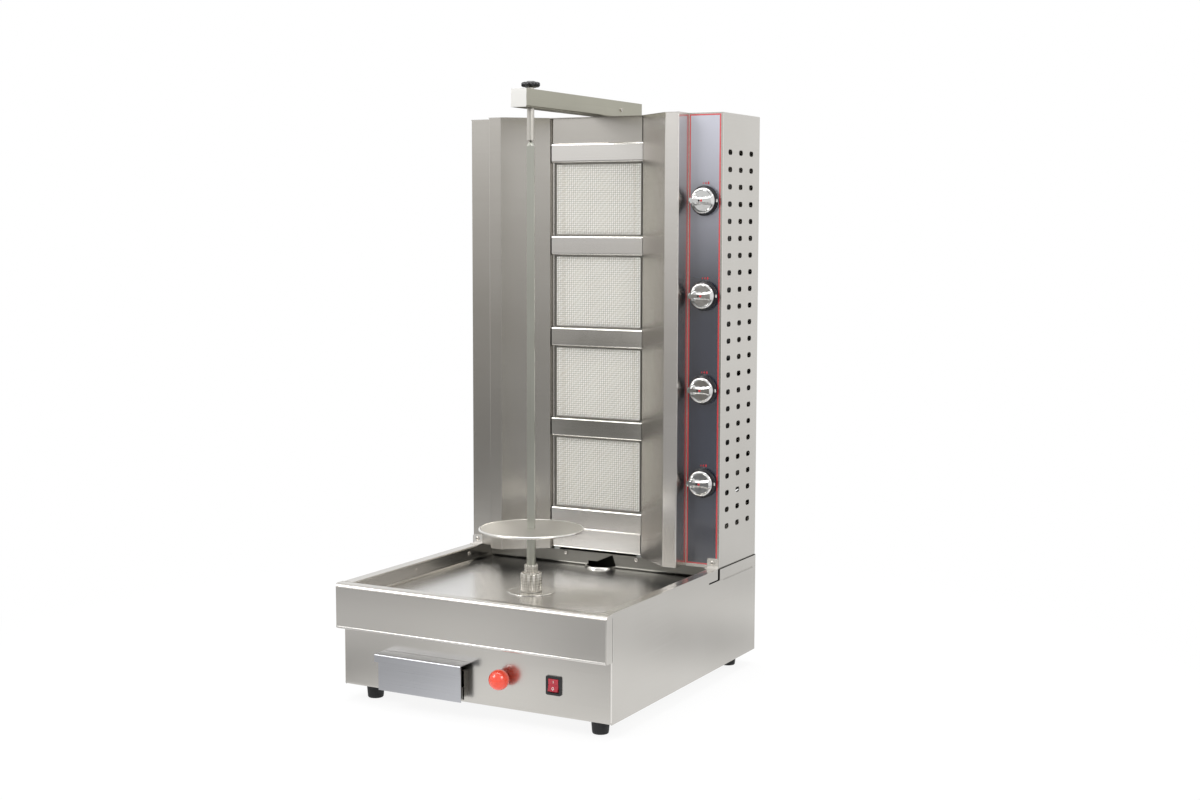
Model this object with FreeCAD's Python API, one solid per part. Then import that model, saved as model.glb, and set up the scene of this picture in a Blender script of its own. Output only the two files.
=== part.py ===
import FreeCAD, Part
import math
import os
from FreeCAD import Vector

# Gas doner kebab grill, sizes in millimetres.
# X runs across the grill, Y runs from the front panel (y = 0) to the rear, Z is up.
# At the end everything moves back by origin_y, so that the origin lies on the
# standing plane under the middle of the whole grill.

# Sheet metal
sheet = 1.2
seat_gap = 0.3
bend = 3.0
fold_inner = 0.3
round_share = 0.4

# Base housing
base_width = 500.0
base_depth = 547.6
base_height = 172.9
foot_height = 25.3
foot_top_r = 15.5
foot_bottom_r = 13.0
foot_inset_x = 37.0
foot_inset_y = 34.0
foot_bore_r = 5.0
foot_bore_depth = 9.0
front_hem = 15.0
hem_bend = 4.0
panel_seam_depth = 0.5
panel_seam_height = 1.0
relief_height = 20.2
relief_slot_ahead = 5.7
relief_slot_width = 8.5
relief_slit_length = 35.0
relief_slit_height = 2.6
seam_margin = 15.6
pan_vent_length = 60.0
pan_vent_width = 6.0
pan_vent_pitch = 24.0
pan_vent_count = 6
pan_vent_y = 330.0

# Front fascia, a folded rim that stands out round the front
fascia_height = 74.7
fascia_reach = 21.0
fascia_overhang = 2.5
fascia_top_bend = 7.0
fascia_rim = 20.0
fascia_corner = 2.2
front_corner = 1.0

# Drip tray sunk into the base
tray_depth = 26.2
tray_rim = 19.5
tray_bend = 5.0
tray_rear_set = 35.8
tray_land = 1.0

# Drain in the tray, with its spout down to the drawer
drain_x = 1.5
drain_r = 27.0
drain_rim_width = 1.6
drain_rim_height = 2.0
drain_mouth_height = 23.0
drain_mouth_half = 28.5
drain_mouth_side = 6.0
chute_clearance = 2.0
chute_depth = 30.5
chute_outlet_x = -78.0
chute_outlet_width = 34.0
chute_low = 82.0
chute_turn = 128.0

# Grease drawer
drawer_left = -161.0
drawer_width = 139.0
drawer_low = 31.0
drawer_wall_height = 43.0
drawer_rear_gap = 82.6
drawer_sheet = 1.2
drawer_hole_left = 2.0
drawer_hole_right = 6.0
drawer_hole_low = 29.5
drawer_hole_top = 76.5
drawer_front_left = -169.0
drawer_front_width = 159.0
drawer_front_low = 30.0
drawer_front_y = -19.0
drawer_lip_width = 165.0
drawer_lip_top = 92.0
drawer_lip_y = -30.0
drawer_lip_drop = 13.0
drawer_lip_bend = 2.5
runner_width = 12.0
runner_wall = 2.0
runner_gap = 0.5
runner_wall_height = 18.0

# Rocker switch
switch_x = 149.5
switch_z = 74.7
switch_width = 27.0
switch_height = 30.4
bezel_thick = 2.5
switch_body_depth = 22.0
switch_body_margin = 2.5
switch_corner = 3.0
rocker_width = 18.0
rocker_height = 19.6
rocker_gap = 0.5
rocker_swing_gap = 1.4
rocker_proud = 2.0
rocker_pivot_y = 6.0
rocker_tilt = 6.0
rocker_notch = 1.4

# Spit axis and drive
spit_y = 183.0
carriage_travel = 28.0
ball_x = 60.0
ball_z = 76.0
ball_r = 16.4
ball_gap = 0.5
rod_r = 5.0
rod_clearance = 0.4
rod_grip = 9.0
rail_inner = 44.0
rail_outer = 60.0
rail_height = 22.0
rail_groove_depth = 10.0
rail_groove_level = 5.5
rail_margin = 8.0
carriage_plate = 3.0
carriage_gap = 0.2
carriage_edge = 8.0
carriage_half = 45.0
lug_thickness = 3.0
lug_right = 72.0
lug_shoulder = 8.0
lug_below_rod = 10.0
gearbox_half_x = 32.0
gearbox_front = 32.0
gearbox_rear = 34.0
gearbox_height = 62.0
gearbox_corner = 4.0
motor_r = 27.0
motor_length = 66.0
motor_drop = 32.0
shaft_r = 7.0
shaft_clearance = 1.0
cover_r = 38.7
cover_thick = 1.0
cover_gap = 0.2

# Coupling and spit
ring_r = 18.5
ring_height = 2.3
socket_r = 18.4
socket_height = 29.1
collar_r = 11.7
collar_height = 13.6
flute_count = 12
flute_r = 2.4
shank_r = 7.7
shank_depth = 14.0
shank_fit = 0.05
spit_side = 12.0
spit_turn = 25.0
spit_shoulder = 276.0
spit_tip = 920.0
spit_point = 9.0
spit_point_r = 1.5
spit_point_taper = 0.6
disc_r = 87.0
disc_thick = 3.6
disc_edge = 1.4
disc_hole_gap = 0.3

# Tower
tower_inset = 1.1
tower_head = 44.9
tower_depth = 155.1
tower_rear_inset = 0.8
wing_reach = 40.5
wing_flat = 24.7
wing_lift = 2.6
reflector_gap = 1.8
reflector_set = 14.2
reflector_return = 16.0
top_slot_width = 12.4
vent_rows = 23
vent_columns = 3
vent_length = 16.0
vent_height = 9.0
vent_pitch_y = 44.2
vent_pitch_z = 29.0
vent_first_set = 30.9
vent_first_z = 268.0
back_vent_rows = 8
back_vent_pitch = 22.0
back_vent_length = 90.0
back_vent_height = 6.0
back_vent_top = 900.0
back_vent_x = 110.0

# Control panel
film_thick = 0.4
film_left = 1.2
film_right = 3.5
film_low = 203.5
film_head = 2.4
control_width = 62.5
knob_inset = 30.3
knob_first_z = 345.0
knob_pitch_less = 2.4
knob_count = 4
knob_skirt_r = 25.5
knob_skirt_thick = 3.0
knob_cap_r = 21.8
knob_cap_depth = 9.0
knob_cap_round = 3.0
knob_grip_margin = 1.0
knob_grip_width = 11.0
knob_grip_depth = 7.0
knob_stand = 3.6
knob_push = 3.0
knob_bore_depth = 12.0
stem_r = 4.0
stem_fit = 0.05
stem_hole_r = 8.0
stem_inside = 12.0

# Burner column
column_half = 90.5
bar_set = 16.3
bar_depth = 8.0
bar_height = 34.0
bar_pitch = 162.2
sill_level = 277.7
bar_bend = 3.5
bar_count = 4
sill_height = 39.0
column_panel_set = 3.0
column_panel_inset = 2.8
column_low = 202.8
post_web = 12.0
post_depth = 34.0
screen_set = 2.0
screen_rim = 2.6
screen_thick = 3.0
screen_half = 87.0
wire = 0.9
wire_pitch = 7.2
housing_half = 78.0
housing_extra = 8.0
housing_depth = 38.0
plate_set_back = 1.0
plate_thick = 12.0

# Gas train
valve_width = 20.0
valve_height = 28.0
valve_depth = 62.0
tube_r = 7.0
tube_bore_r = 5.0
tube_set = 51.3
tube_clearance = 1.5
manifold_side = 18.0
manifold_over = 34.0
inlet_r = 10.48
inlet_thread = 20.0
inlet_neck_r = 9.0
inlet_length = 24.0
inlet_clearance = 1.5
inlet_bore_r = 7.0
gland_x = -150.0
gland_z = 70.0
gland_r = 10.0
gland_length = 18.0
gland_flange_r = 14.0
gland_flange = 4.0
gland_bore_r = 4.0

# Brackets and screws
bracket_width = 20.9
bracket_height = 16.8
bracket_foot = 12.0
bracket_thick = 1.5
bracket_corner = 4.0
bracket_inset = 0.4
film_notch_gap = 0.4
screw_r = 3.5
screw_height = 2.2
screw_round = 1.32
tray_screw_y = (180.0, 350.0)
tray_screw_z = 187.0
rear_screw_x = 72.0
rear_screw_z = 191.0
back_screw_inset = 8.0

# Upper spit support
arm_lift = 0.6
arm_sheet = 1.5
arm_half = 14.5
arm_height = 29.5
arm_nose = 37.5
arm_tail = 6.0
arm_bend = 2.5
pivot_set = 103.3
pivot_r = 6.0
pivot_fit = 0.05
pivot_head_r = 11.0
pivot_head_height = 6.0
pivot_collar_r = 12.0
pin_r = 6.0
pin_fit = 0.05
pin_gap = 0.3
pin_cup_r = 4.5
pin_cup_depth = 4.0
star_gap = 3.5
star_r = 16.0
star_lobes = 5
star_lobe_r = 4.6
star_turn = 12.0
star_rim = 7.5
star_height = 10.8
star_hold = 6.0

# Levels and planes that follow from the sizes above
half_base = base_width / 2
base_low = foot_height
base_top = base_low + base_height
flange_under = base_top - sheet
fascia_low = base_top - fascia_height
tower_rear = base_depth - tower_rear_inset
tower_front = tower_rear - tower_depth
wing_front = tower_front - wing_reach
reflector_back = tower_front + reflector_set
vent_first_y = tower_front + vent_first_set
bar_front = tower_front + bar_set
column_panel_front = bar_front + column_panel_set
screen_front = column_panel_front + screen_set
tube_y = tower_front + tube_set
pivot_y = tower_front + pivot_set
tray_rear = tower_front + tray_rear_set
chute_rear = tray_rear + chute_depth
drawer_rear = base_depth - drawer_rear_gap
relief_slot = (tower_front - relief_slot_ahead, tower_front - relief_slot_ahead + relief_slot_width)
relief_slit_start = relief_slot[0] - relief_slit_length
seam_end = base_depth - seam_margin
tray_half = half_base - tray_rim
tray_floor_level = base_top - tray_depth
tray_under = tray_floor_level - sheet
tray_front = fascia_rim - fascia_reach
tray_plate_half = tray_half - tray_bend - tray_land
tray_plate_rear = tray_rear - tray_bend - tray_land
deck_rear = base_depth - sheet
tower_width = base_width - 2 * tower_inset
half_tower = tower_width / 2
wing_outer = half_tower - control_width
wing_inner = wing_outer - wing_flat
reflector_inner = column_half + reflector_gap
knob_x = half_tower - knob_inset
bar_top = sill_level + bar_count * bar_pitch
tower_top = bar_top + tower_head
film_high = tower_top - film_head
knob_pitch = bar_pitch - knob_pitch_less
tower_under = tower_top - sheet
ball_y = -ball_gap - ball_r
inlet_rear = tower_rear + inlet_length
origin_y = (min(ball_y - ball_r, drawer_lip_y) + inlet_rear) / 2


def box(x0, x1, y0, y1, z0, z1):
    return Part.makeBox(x1 - x0, y1 - y0, z1 - z0, Vector(x0, y0, z0))


def rod(radius, length, start, direction):
    return Part.makeCylinder(radius, length, Vector(*start), Vector(*direction))


def place(plane, u, v, w):
    """A point of a drawing plane: its two coordinates, then the height over the plane."""
    if plane == "xy":
        return Vector(u, v, w)
    if plane == "xz":
        return Vector(u, w, v)
    return Vector(w, u, v)


def lift(plane, height):
    return place(plane, 0, 0, height)


def rounded_path(plane, points, radii, level):
    """Straight runs through the points, each inner corner rounded by its radius."""
    edges = []
    start = points[0]
    for k in range(1, len(points)):
        here = points[k]
        stop = here
        arc = None
        if k < len(points) - 1 and radii[k] > 0:
            before = (here[0] - points[k - 1][0], here[1] - points[k - 1][1])
            after = (points[k + 1][0] - here[0], points[k + 1][1] - here[1])
            long_before = math.hypot(*before)
            long_after = math.hypot(*after)
            before = (before[0] / long_before, before[1] / long_before)
            after = (after[0] / long_after, after[1] / long_after)
            turn = math.acos(max(-1.0, min(1.0, before[0] * after[0] + before[1] * after[1])))
            cut = radii[k] * math.tan(turn / 2)
            stop = (here[0] - before[0] * cut, here[1] - before[1] * cut)
            leave = (here[0] + after[0] * cut, here[1] + after[1] * cut)
            chord_mid = ((stop[0] + leave[0]) / 2, (stop[1] + leave[1]) / 2)
            reach = math.hypot(here[0] - chord_mid[0], here[1] - chord_mid[1])
            to_centre = radii[k] / math.cos(turn / 2)
            share = (to_centre - radii[k]) / reach
            crest = (here[0] + (chord_mid[0] - here[0]) * share,
                     here[1] + (chord_mid[1] - here[1]) * share)
            arc = (stop, crest, leave)
        if math.hypot(stop[0] - start[0], stop[1] - start[1]) > 1e-6:
            run = Part.LineSegment(place(plane, *start, level), place(plane, *stop, level))
            edges.append(run.toShape())
        start = stop
        if arc:
            edges.append(Part.Arc(*[place(plane, *p, level) for p in arc]).toShape())
            start = arc[2]
    return edges


def outline(plane, points, radii, level):
    """A closed outline with rounded corners, as a face; it starts in the middle of its last side."""
    middle = ((points[0][0] + points[-1][0]) / 2, (points[0][1] + points[-1][1]) / 2)
    loop = [middle] + list(points) + [middle]
    return Part.Wire(rounded_path(plane, loop, [0] + list(radii) + [0], level))


def slab(plane, points, radii, level, height, holes=()):
    """A flat piece of the closed outline, with holes given as wires on the same plane."""
    face = Part.makeFace([outline(plane, points, radii, level)] + list(holes), "Part::FaceMakerBullseye")
    return face.extrude(lift(plane, height))


def obround(plane, u, v, length, width, level):
    """A slot outline with half-round ends, its length along the first coordinate."""
    half = length / 2
    corners = [(u - half, v - width / 2), (u + half, v - width / 2), (u + half, v + width / 2),
               (u - half, v + width / 2)]
    return outline(plane, corners, [width / 2] * 4, level)


def round_hole(plane, u, v, radius, level):
    centre = place(plane, u, v, level)
    return Part.Wire([Part.makeCircle(radius, centre, lift(plane, 1))])


def bent_strip(plane, points, radii, thick, level, length):
    """Folded sheet: the given path is one face, the sheet lies to the left of it."""
    count = len(points)
    runs = []
    for k in range(count - 1):
        du = points[k + 1][0] - points[k][0]
        dv = points[k + 1][1] - points[k][1]
        size = math.hypot(du, dv)
        runs.append((du / size, dv / size))
    other = []
    other_radii = []
    for k in range(count):
        first = runs[max(k - 1, 0)]
        second = runs[min(k, count - 2)]
        share = 1 + first[0] * second[0] + first[1] * second[1]
        shift_u = -(first[1] + second[1]) / share * thick
        shift_v = (first[0] + second[0]) / share * thick
        other.append((points[k][0] + shift_u, points[k][1] + shift_v))
        side = first[0] * second[1] - first[1] * second[0]
        other_radii.append(radii[k] - thick if side > 0 else radii[k] + thick)
    far = other[::-1]
    edges = rounded_path(plane, points, radii, level)
    edges.append(Part.LineSegment(place(plane, *points[-1], level),
                                  place(plane, *far[0], level)).toShape())
    edges += rounded_path(plane, far, other_radii[::-1], level)
    edges.append(Part.LineSegment(place(plane, *far[-1], level),
                                  place(plane, *points[0], level)).toShape())
    return Part.Face(Part.Wire(edges)).extrude(lift(plane, length))


def mirrored(shape):
    return shape.mirror(Vector(0, 0, 0), Vector(1, 0, 0))


def group(shapes):
    return Part.makeCompound(list(shapes))


def polar(radius, degrees):
    return (radius * math.cos(math.radians(degrees)), radius * math.sin(math.radians(degrees)))


# Base housing
def base_floor_pan():
    holes = []
    for k in range(pan_vent_count):
        x = (k - (pan_vent_count - 1) / 2) * pan_vent_pitch
        corners = [(x - pan_vent_width / 2, pan_vent_y), (x + pan_vent_width / 2, pan_vent_y),
                   (x + pan_vent_width / 2, pan_vent_y + pan_vent_length),
                   (x - pan_vent_width / 2, pan_vent_y + pan_vent_length)]
        holes.append(outline("xy", corners, [pan_vent_width / 2] * 4, base_low))
    edge = half_base - sheet
    corners = [(-edge, front_hem), (edge, front_hem), (edge, deck_rear), (-edge, deck_rear)]
    return slab("xy", corners, [0] * 4, base_low, sheet, holes)


def base_side_panel(outer_x, inner_x):
    """Side of the base, with the relief slot in front of the tower and the slit beside it."""
    relief = base_top - relief_height
    slit_top = relief + relief_slit_height
    points = [(sheet, base_low), (deck_rear, base_low), (deck_rear, flange_under),
              (relief_slot[1], flange_under),
              (relief_slot[1], relief), (relief_slit_start, relief), (relief_slit_start, slit_top),
              (relief_slot[0], slit_top), (relief_slot[0], flange_under), (sheet, flange_under)]
    panel = slab("yz", points, [0] * len(points), min(outer_x, inner_x), sheet)
    toward = 1 if outer_x > inner_x else -1
    seam_inner = outer_x - toward * panel_seam_depth
    seam = box(min(outer_x, seam_inner), max(outer_x, seam_inner), relief_slot[1], seam_end, relief,
               relief + panel_seam_height)
    return panel.cut(seam)


def base_left_panel():
    return base_side_panel(-half_base, -half_base + sheet)


def base_right_panel():
    return base_side_panel(half_base, half_base - sheet)


def base_rear_panel():
    holes = [round_hole("xz", gland_x, gland_z, gland_r + inlet_clearance, deck_rear)]
    corners = [(-half_base, base_low), (half_base, base_low), (half_base, flange_under),
               (-half_base, flange_under)]
    return slab("xz", corners, [0] * 4, deck_rear, sheet, holes)


def drawer_opening():
    return (drawer_left - drawer_hole_left, drawer_left + drawer_width + drawer_hole_right,
            drawer_hole_low, drawer_hole_top)


def switch_body_size():
    return (switch_width / 2 - switch_body_margin, switch_height / 2 - switch_body_margin)


def round_front_corners(shape, half, level, radius, low, high):
    """Round both upright corners where the plane y = level meets x = +-half."""
    corner = box(half - radius, half + 1, level - 1, level + radius, low, high)
    corner = corner.cut(rod(radius, high - low, (half - radius, level + radius, low), (0, 0, 1)))
    return shape.cut(corner).cut(mirrored(corner))


def base_front_panel():
    path = [(0, tray_under), (0, base_low), (front_hem, base_low)]
    panel = bent_strip("yz", path, [0, hem_bend, 0], sheet, -half_base, base_width)
    for side in (-half_base, half_base - sheet):
        panel = panel.cut(box(side, side + sheet, sheet, front_hem, base_low, base_low + hem_bend))
    left, right, low, top = drawer_opening()
    panel = panel.cut(box(left, right, -1, sheet + 1, low, top))
    panel = panel.cut(rod(rod_r + rod_clearance, 4 * sheet, (ball_x, -2 * sheet, ball_z), (0, 1, 0)))
    half_x, half_z = switch_body_size()
    panel = panel.cut(box(switch_x - half_x, switch_x + half_x, -1, sheet + 1, switch_z - half_z,
                          switch_z + half_z))
    return round_front_corners(panel, half_base, 0, front_corner, base_low + hem_bend, tray_under)


def front_fascia():
    half = half_base + fascia_overhang
    path = [(tray_front, tray_under), (tray_front, base_top), (-fascia_reach, base_top),
            (-fascia_reach, fascia_low), (0, fascia_low)]
    radii = [0, bend, fascia_top_bend, bend, 0]
    channel = bent_strip("yz", path, radii, sheet, -half + sheet, 2 * (half - sheet))
    cap_points = [(0, base_top), (-fascia_reach, base_top), (-fascia_reach, fascia_low), (0, fascia_low)]
    cap_radii = [0, fascia_top_bend, bend, 0]
    left_cap = slab("yz", cap_points, cap_radii, -half, sheet)
    right_cap = slab("yz", cap_points, cap_radii, half - sheet, sheet)
    shell = channel.fuse([left_cap, right_cap]).removeSplitter()
    return round_front_corners(shell, half, -fascia_reach, fascia_corner, fascia_low, base_top)


# Drip tray
def drain_cutter():
    return rod(drain_r, 3 * tray_bend, (drain_x, tray_rear, tray_under - tray_bend), (0, 0, 1))


def shaft_slot_half():
    return shaft_r + shaft_clearance


def tray_floor():
    half = shaft_slot_half()
    front = spit_y - carriage_travel - half
    rear = spit_y + half
    corners = [(-half, front), (half, front), (half, rear), (-half, rear)]
    slot = outline("xy", corners, [half] * 4, tray_under)
    outer = [(-tray_plate_half, tray_front), (tray_plate_half, tray_front),
             (tray_plate_half, tray_plate_rear), (-tray_plate_half, tray_plate_rear)]
    plate = slab("xy", outer, [0] * 4, tray_under, sheet, [slot])
    return plate.cut(drain_cutter())


def tray_right_wall():
    path = [(half_base, base_top), (tray_half, base_top), (tray_half, tray_floor_level),
            (tray_plate_half, tray_floor_level)]
    wall = bent_strip("xz", path, [0, bend, tray_bend, 0], sheet, tray_front, tray_rear - tray_front)
    rear_flange = box(tray_half, half_base, tray_rear, base_depth, flange_under, base_top)
    wall = wall.fuse(rear_flange).removeSplitter()
    return wall.cut(box(half_base - 2 * sheet, half_base, relief_slot[0], relief_slot[1],
                        flange_under, base_top))


def tray_left_wall():
    return mirrored(tray_right_wall())


def tray_rear_wall():
    """Rear wall of the tray; its top bends back to carry the middle of the tower."""
    path = [(base_depth, base_top), (tray_rear, base_top), (tray_rear, tray_floor_level),
            (tray_plate_rear, tray_floor_level)]
    wall = bent_strip("yz", path, [0, bend, tray_bend, 0], sheet, -tray_half, 2 * tray_half)
    corner = box(tray_plate_half, tray_half + 1, tray_plate_rear - 1, tray_rear, tray_under - 1, base_top)
    wall = wall.cut(corner).cut(mirrored(corner))
    left = drain_x - drain_mouth_half
    right = drain_x + drain_mouth_half
    top = tray_floor_level + drain_mouth_height
    mouth = [(left, tray_floor_level), (right, tray_floor_level),
             (right, tray_floor_level + drain_mouth_side), (right - drain_mouth_side, top)]
    mouth_cutter = slab("xz", mouth, [0] * 4, tray_rear - tray_bend, 3 * tray_bend)
    return wall.cut(mouth_cutter).cut(drain_cutter())


def drain_spout():
    """Half-round rim in the floor, and the funnel that leads the fat to the drawer."""
    rim = rod(drain_r, drain_rim_height + sheet, (drain_x, tray_rear, tray_under), (0, 0, 1))
    rim = rim.cut(rod(drain_r - drain_rim_width, 4 * tray_bend,
                      (drain_x, tray_rear, tray_under - tray_bend), (0, 0, 1)))
    rim = rim.common(box(-tray_half, tray_half, 0, tray_rear, 0, base_top))
    left = drain_x - drain_mouth_half - chute_clearance
    right = drain_x + drain_mouth_half + chute_clearance
    front = tray_rear - drain_r - chute_clearance
    outlet = chute_outlet_x + chute_outlet_width
    outer = [(left, tray_under), (left, chute_turn),
             (chute_outlet_x, chute_low + chute_outlet_width), (chute_outlet_x, chute_low),
             (outlet, chute_low), (right, chute_turn), (right, tray_under)]
    funnel = slab("xz", outer, [0] * 7, front, chute_rear - front)
    inner = [(left + sheet, tray_under + 1), (left + sheet, chute_turn + sheet / 2),
             (chute_outlet_x + sheet, chute_low + chute_outlet_width + sheet / 2),
             (chute_outlet_x + sheet, chute_low - 1),
             (outlet - sheet, chute_low - 1), (right - sheet, chute_turn + sheet / 2),
             (right - sheet, tray_under + 1)]
    hollow = slab("xz", inner, [0] * 7, front + sheet, chute_rear - front - 2 * sheet)
    hood = box(left, right, tray_rear + sheet, chute_rear, tray_under, flange_under - bend)
    hood_hollow = box(left + sheet, right - sheet, tray_rear, chute_rear - sheet, tray_under - 1,
                      flange_under + 1)
    return group([rim, funnel.fuse(hood).cut(hollow).cut(hood_hollow).removeSplitter()])


# Grease drawer and its runners
def drawer_runners():
    """Two folded angles on the floor pan, one under each long edge of the drawer."""
    pan_top = base_low + sheet
    rest = drawer_low - seat_gap
    runners = []
    for edge, toward in ((drawer_left, 1), (drawer_left + drawer_width, -1)):
        wall_inner = edge - toward * runner_gap
        wall_outer = wall_inner - toward * runner_wall
        inner = edge + toward * runner_width
        shelf = box(min(wall_outer, inner), max(wall_outer, inner), sheet + seat_gap, drawer_rear,
                    pan_top, rest)
        side = box(min(wall_outer, wall_inner), max(wall_outer, wall_inner), sheet + seat_gap,
                   drawer_rear, rest, rest + runner_wall_height)
        hem = box(min(wall_outer, inner) - 1, max(wall_outer, inner) + 1, 0, front_hem, base_low,
                  base_low + hem_bend)
        shelf = shelf.cut(hem)
        runners.append(shelf.fuse(side).removeSplitter())
    return group(runners)


def drawer_box():
    right = drawer_left + drawer_width
    front = drawer_front_y + sheet
    top = drawer_low + drawer_wall_height
    shell = box(drawer_left, right, front, drawer_rear, drawer_low, top)
    wall = drawer_sheet
    return shell.cut(box(drawer_left + wall, right - wall, front + wall, drawer_rear - wall,
                         drawer_low + wall, top + 1))


def drawer_front():
    """Front plate of the drawer under a folded grip lip."""
    plate_top = drawer_lip_top - sheet
    plate = box(drawer_front_left, drawer_front_left + drawer_front_width, drawer_front_y,
                drawer_front_y + sheet, drawer_front_low, plate_top)
    path = [(-ball_gap, drawer_lip_top), (drawer_lip_y, drawer_lip_top),
            (drawer_lip_y, drawer_lip_top - drawer_lip_drop)]
    lip = bent_strip("yz", path, [0, drawer_lip_bend, 0], sheet, drawer_front_left, drawer_lip_width)
    return plate.fuse(lip).removeSplitter()


# Rocker switch
def switch_bezel():
    half_x = switch_width / 2
    half_z = switch_height / 2
    corners = [(switch_x - half_x, switch_z - half_z), (switch_x + half_x, switch_z - half_z),
               (switch_x + half_x, switch_z + half_z), (switch_x - half_x, switch_z + half_z)]
    bezel = slab("xz", corners, [switch_corner] * 4, -bezel_thick, bezel_thick)
    body_x, body_z = switch_body_size()
    body = box(switch_x - body_x, switch_x + body_x, 0, switch_body_depth, switch_z - body_z,
               switch_z + body_z)
    inner_x = rocker_width / 2 + rocker_gap
    inner_z = rocker_height / 2 + rocker_swing_gap
    well = box(switch_x - inner_x, switch_x + inner_x, -bezel_thick - 1, 2 * rocker_pivot_y,
               switch_z - inner_z, switch_z + inner_z)
    return bezel.fuse(body).removeSplitter().cut(well)


def rocker():
    """Red rocker with a shallow notch across its face, lying with its upper end pressed in."""
    half = rocker_height / 2
    front = -bezel_thick - rocker_proud
    back = rocker_pivot_y + rocker_proud
    points = [(front, switch_z - half), (front + rocker_notch, switch_z), (front, switch_z + half),
              (back, switch_z + half), (back, switch_z - half)]
    body = slab("yz", points, [0] * 5, switch_x - rocker_width / 2, rocker_width)
    body.rotate(Vector(switch_x, rocker_pivot_y, switch_z), Vector(1, 0, 0), -rocker_tilt)
    return body


# Spit drive
def rail_low():
    return tray_under - rail_height


def carriage_low():
    return rail_low() + rail_groove_level


def carriage_rails():
    """Two grooved bars under the tray in which the carriage plate runs."""
    front = spit_y - carriage_half - carriage_travel - rail_margin
    rear = spit_y + carriage_half + rail_margin
    bar = box(rail_inner, rail_outer, front, rear, rail_low(), tray_under)
    groove_top = carriage_low() + carriage_plate + carriage_gap
    groove = box(rail_inner, rail_inner + rail_groove_depth, front, rear,
                 carriage_low() - carriage_gap, groove_top)
    rail = bar.cut(groove)
    return group([rail, mirrored(rail)])


def motor_carriage():
    """Sliding plate that carries the gearbox, with a hanging lug for the pull rod."""
    low = carriage_low()
    top = low + carriage_plate
    half = rail_inner + carriage_edge
    front = spit_y - carriage_half
    plate = box(-half, half, front, spit_y + carriage_half, low, top)
    shoulder = rail_low() - lug_shoulder
    bottom = ball_z - lug_below_rod
    neck = box(0, rail_inner - seat_gap, front, front + lug_thickness, bottom, top)
    lug = box(0, lug_right, front, front + lug_thickness, bottom, shoulder)
    body = plate.fuse([neck, lug]).removeSplitter()
    return body.cut(rod(shaft_slot_half(), 4 * carriage_plate, (0, spit_y, low - carriage_plate),
                        (0, 0, 1)))


def gear_motor():
    """Gearbox with the motor can behind it."""
    top = carriage_low()
    corners = [(-gearbox_half_x, spit_y - gearbox_front), (gearbox_half_x, spit_y - gearbox_front),
               (gearbox_half_x, spit_y + gearbox_rear), (-gearbox_half_x, spit_y + gearbox_rear)]
    case = slab("xy", corners, [gearbox_corner] * 4, top - gearbox_height, gearbox_height)
    motor = rod(motor_r, motor_length, (0, spit_y + gearbox_rear, top - motor_drop), (0, 1, 0))
    bore = rod(shaft_r + shank_fit, gearbox_height / 2, (0, spit_y, top - gearbox_height / 2), (0, 0, 1))
    return case.fuse(motor).removeSplitter().cut(bore)


def pull_rod():
    front = ball_y + ball_r - rod_grip
    rear = spit_y - carriage_half
    return rod(rod_r, rear - front, (ball_x, front, ball_z), (0, 1, 0))


def ball_knob():
    ball = Part.makeSphere(ball_r, Vector(ball_x, ball_y, ball_z))
    return ball.cut(rod(rod_r, ball_r, (ball_x, ball_y + ball_r - rod_grip, ball_z), (0, 1, 0)))


def cover_top():
    return tray_floor_level + cover_gap + cover_thick


def shaft_cover_disc():
    disc = rod(cover_r, cover_thick, (0, spit_y, tray_floor_level + cover_gap), (0, 0, 1))
    return disc.cut(rod(shaft_slot_half(), 3 * cover_thick, (0, spit_y, tray_floor_level), (0, 0, 1)))


def coupling_low():
    return cover_top() + seat_gap


def fluted(radius, height, low):
    """Turned cylinder with grip flutes down its side."""
    body = rod(radius, height, (0, spit_y, low), (0, 0, 1))
    grooves = []
    for k in range(flute_count):
        x, y = polar(radius + flute_r / 2, 360.0 * k / flute_count)
        grooves.append(rod(flute_r, height, (x, spit_y + y, low), (0, 0, 1)))
    return body.cut(grooves)


def shank_low():
    return coupling_low() + ring_height + socket_height - shank_depth


def drive_coupling():
    low = coupling_low()
    ring = rod(ring_r, ring_height, (0, spit_y, low), (0, 0, 1))
    socket = fluted(socket_r, socket_height, low + ring_height)
    collar_low = low + ring_height + socket_height
    collar = rod(collar_r, collar_height, (0, spit_y, collar_low), (0, 0, 1))
    body = ring.fuse([socket, collar]).removeSplitter()
    upper_bore = rod(shank_r + shank_fit, collar_low + collar_height - shank_low(),
                     (0, spit_y, shank_low()), (0, 0, 1))
    lower_bore = rod(shaft_r, shank_low() - low, (0, spit_y, low), (0, 0, 1))
    return body.cut([upper_bore, lower_bore])


def output_shaft():
    low = carriage_low() - gearbox_height / 2 + seat_gap
    return rod(shaft_r, shank_low() - low, (0, spit_y, low), (0, 0, 1))


def spit():
    """Round shank in the coupling, square bar above it with a turned point."""
    shank = rod(shank_r, spit_shoulder - shank_low(), (0, spit_y, shank_low()), (0, 0, 1))
    half = spit_side / 2
    bar = box(-half, half, spit_y - half, spit_y + half, spit_shoulder, spit_tip)
    bar.rotate(Vector(0, spit_y, 0), Vector(0, 0, 1), spit_turn)
    corner_r = half * math.sqrt(2)
    point_low_r = spit_point_r + spit_point * spit_point_taper
    turned = rod(corner_r, spit_tip - spit_point - spit_shoulder, (0, spit_y, spit_shoulder), (0, 0, 1))
    shoulder_low = spit_tip - spit_point
    cone = Part.makeCone(point_low_r, spit_point_r, spit_point, Vector(0, spit_y, shoulder_low),
                         Vector(0, 0, 1))
    return bar.common(turned.fuse(cone)).fuse(shank).removeSplitter()


def disc_low():
    return spit_shoulder + seat_gap


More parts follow.
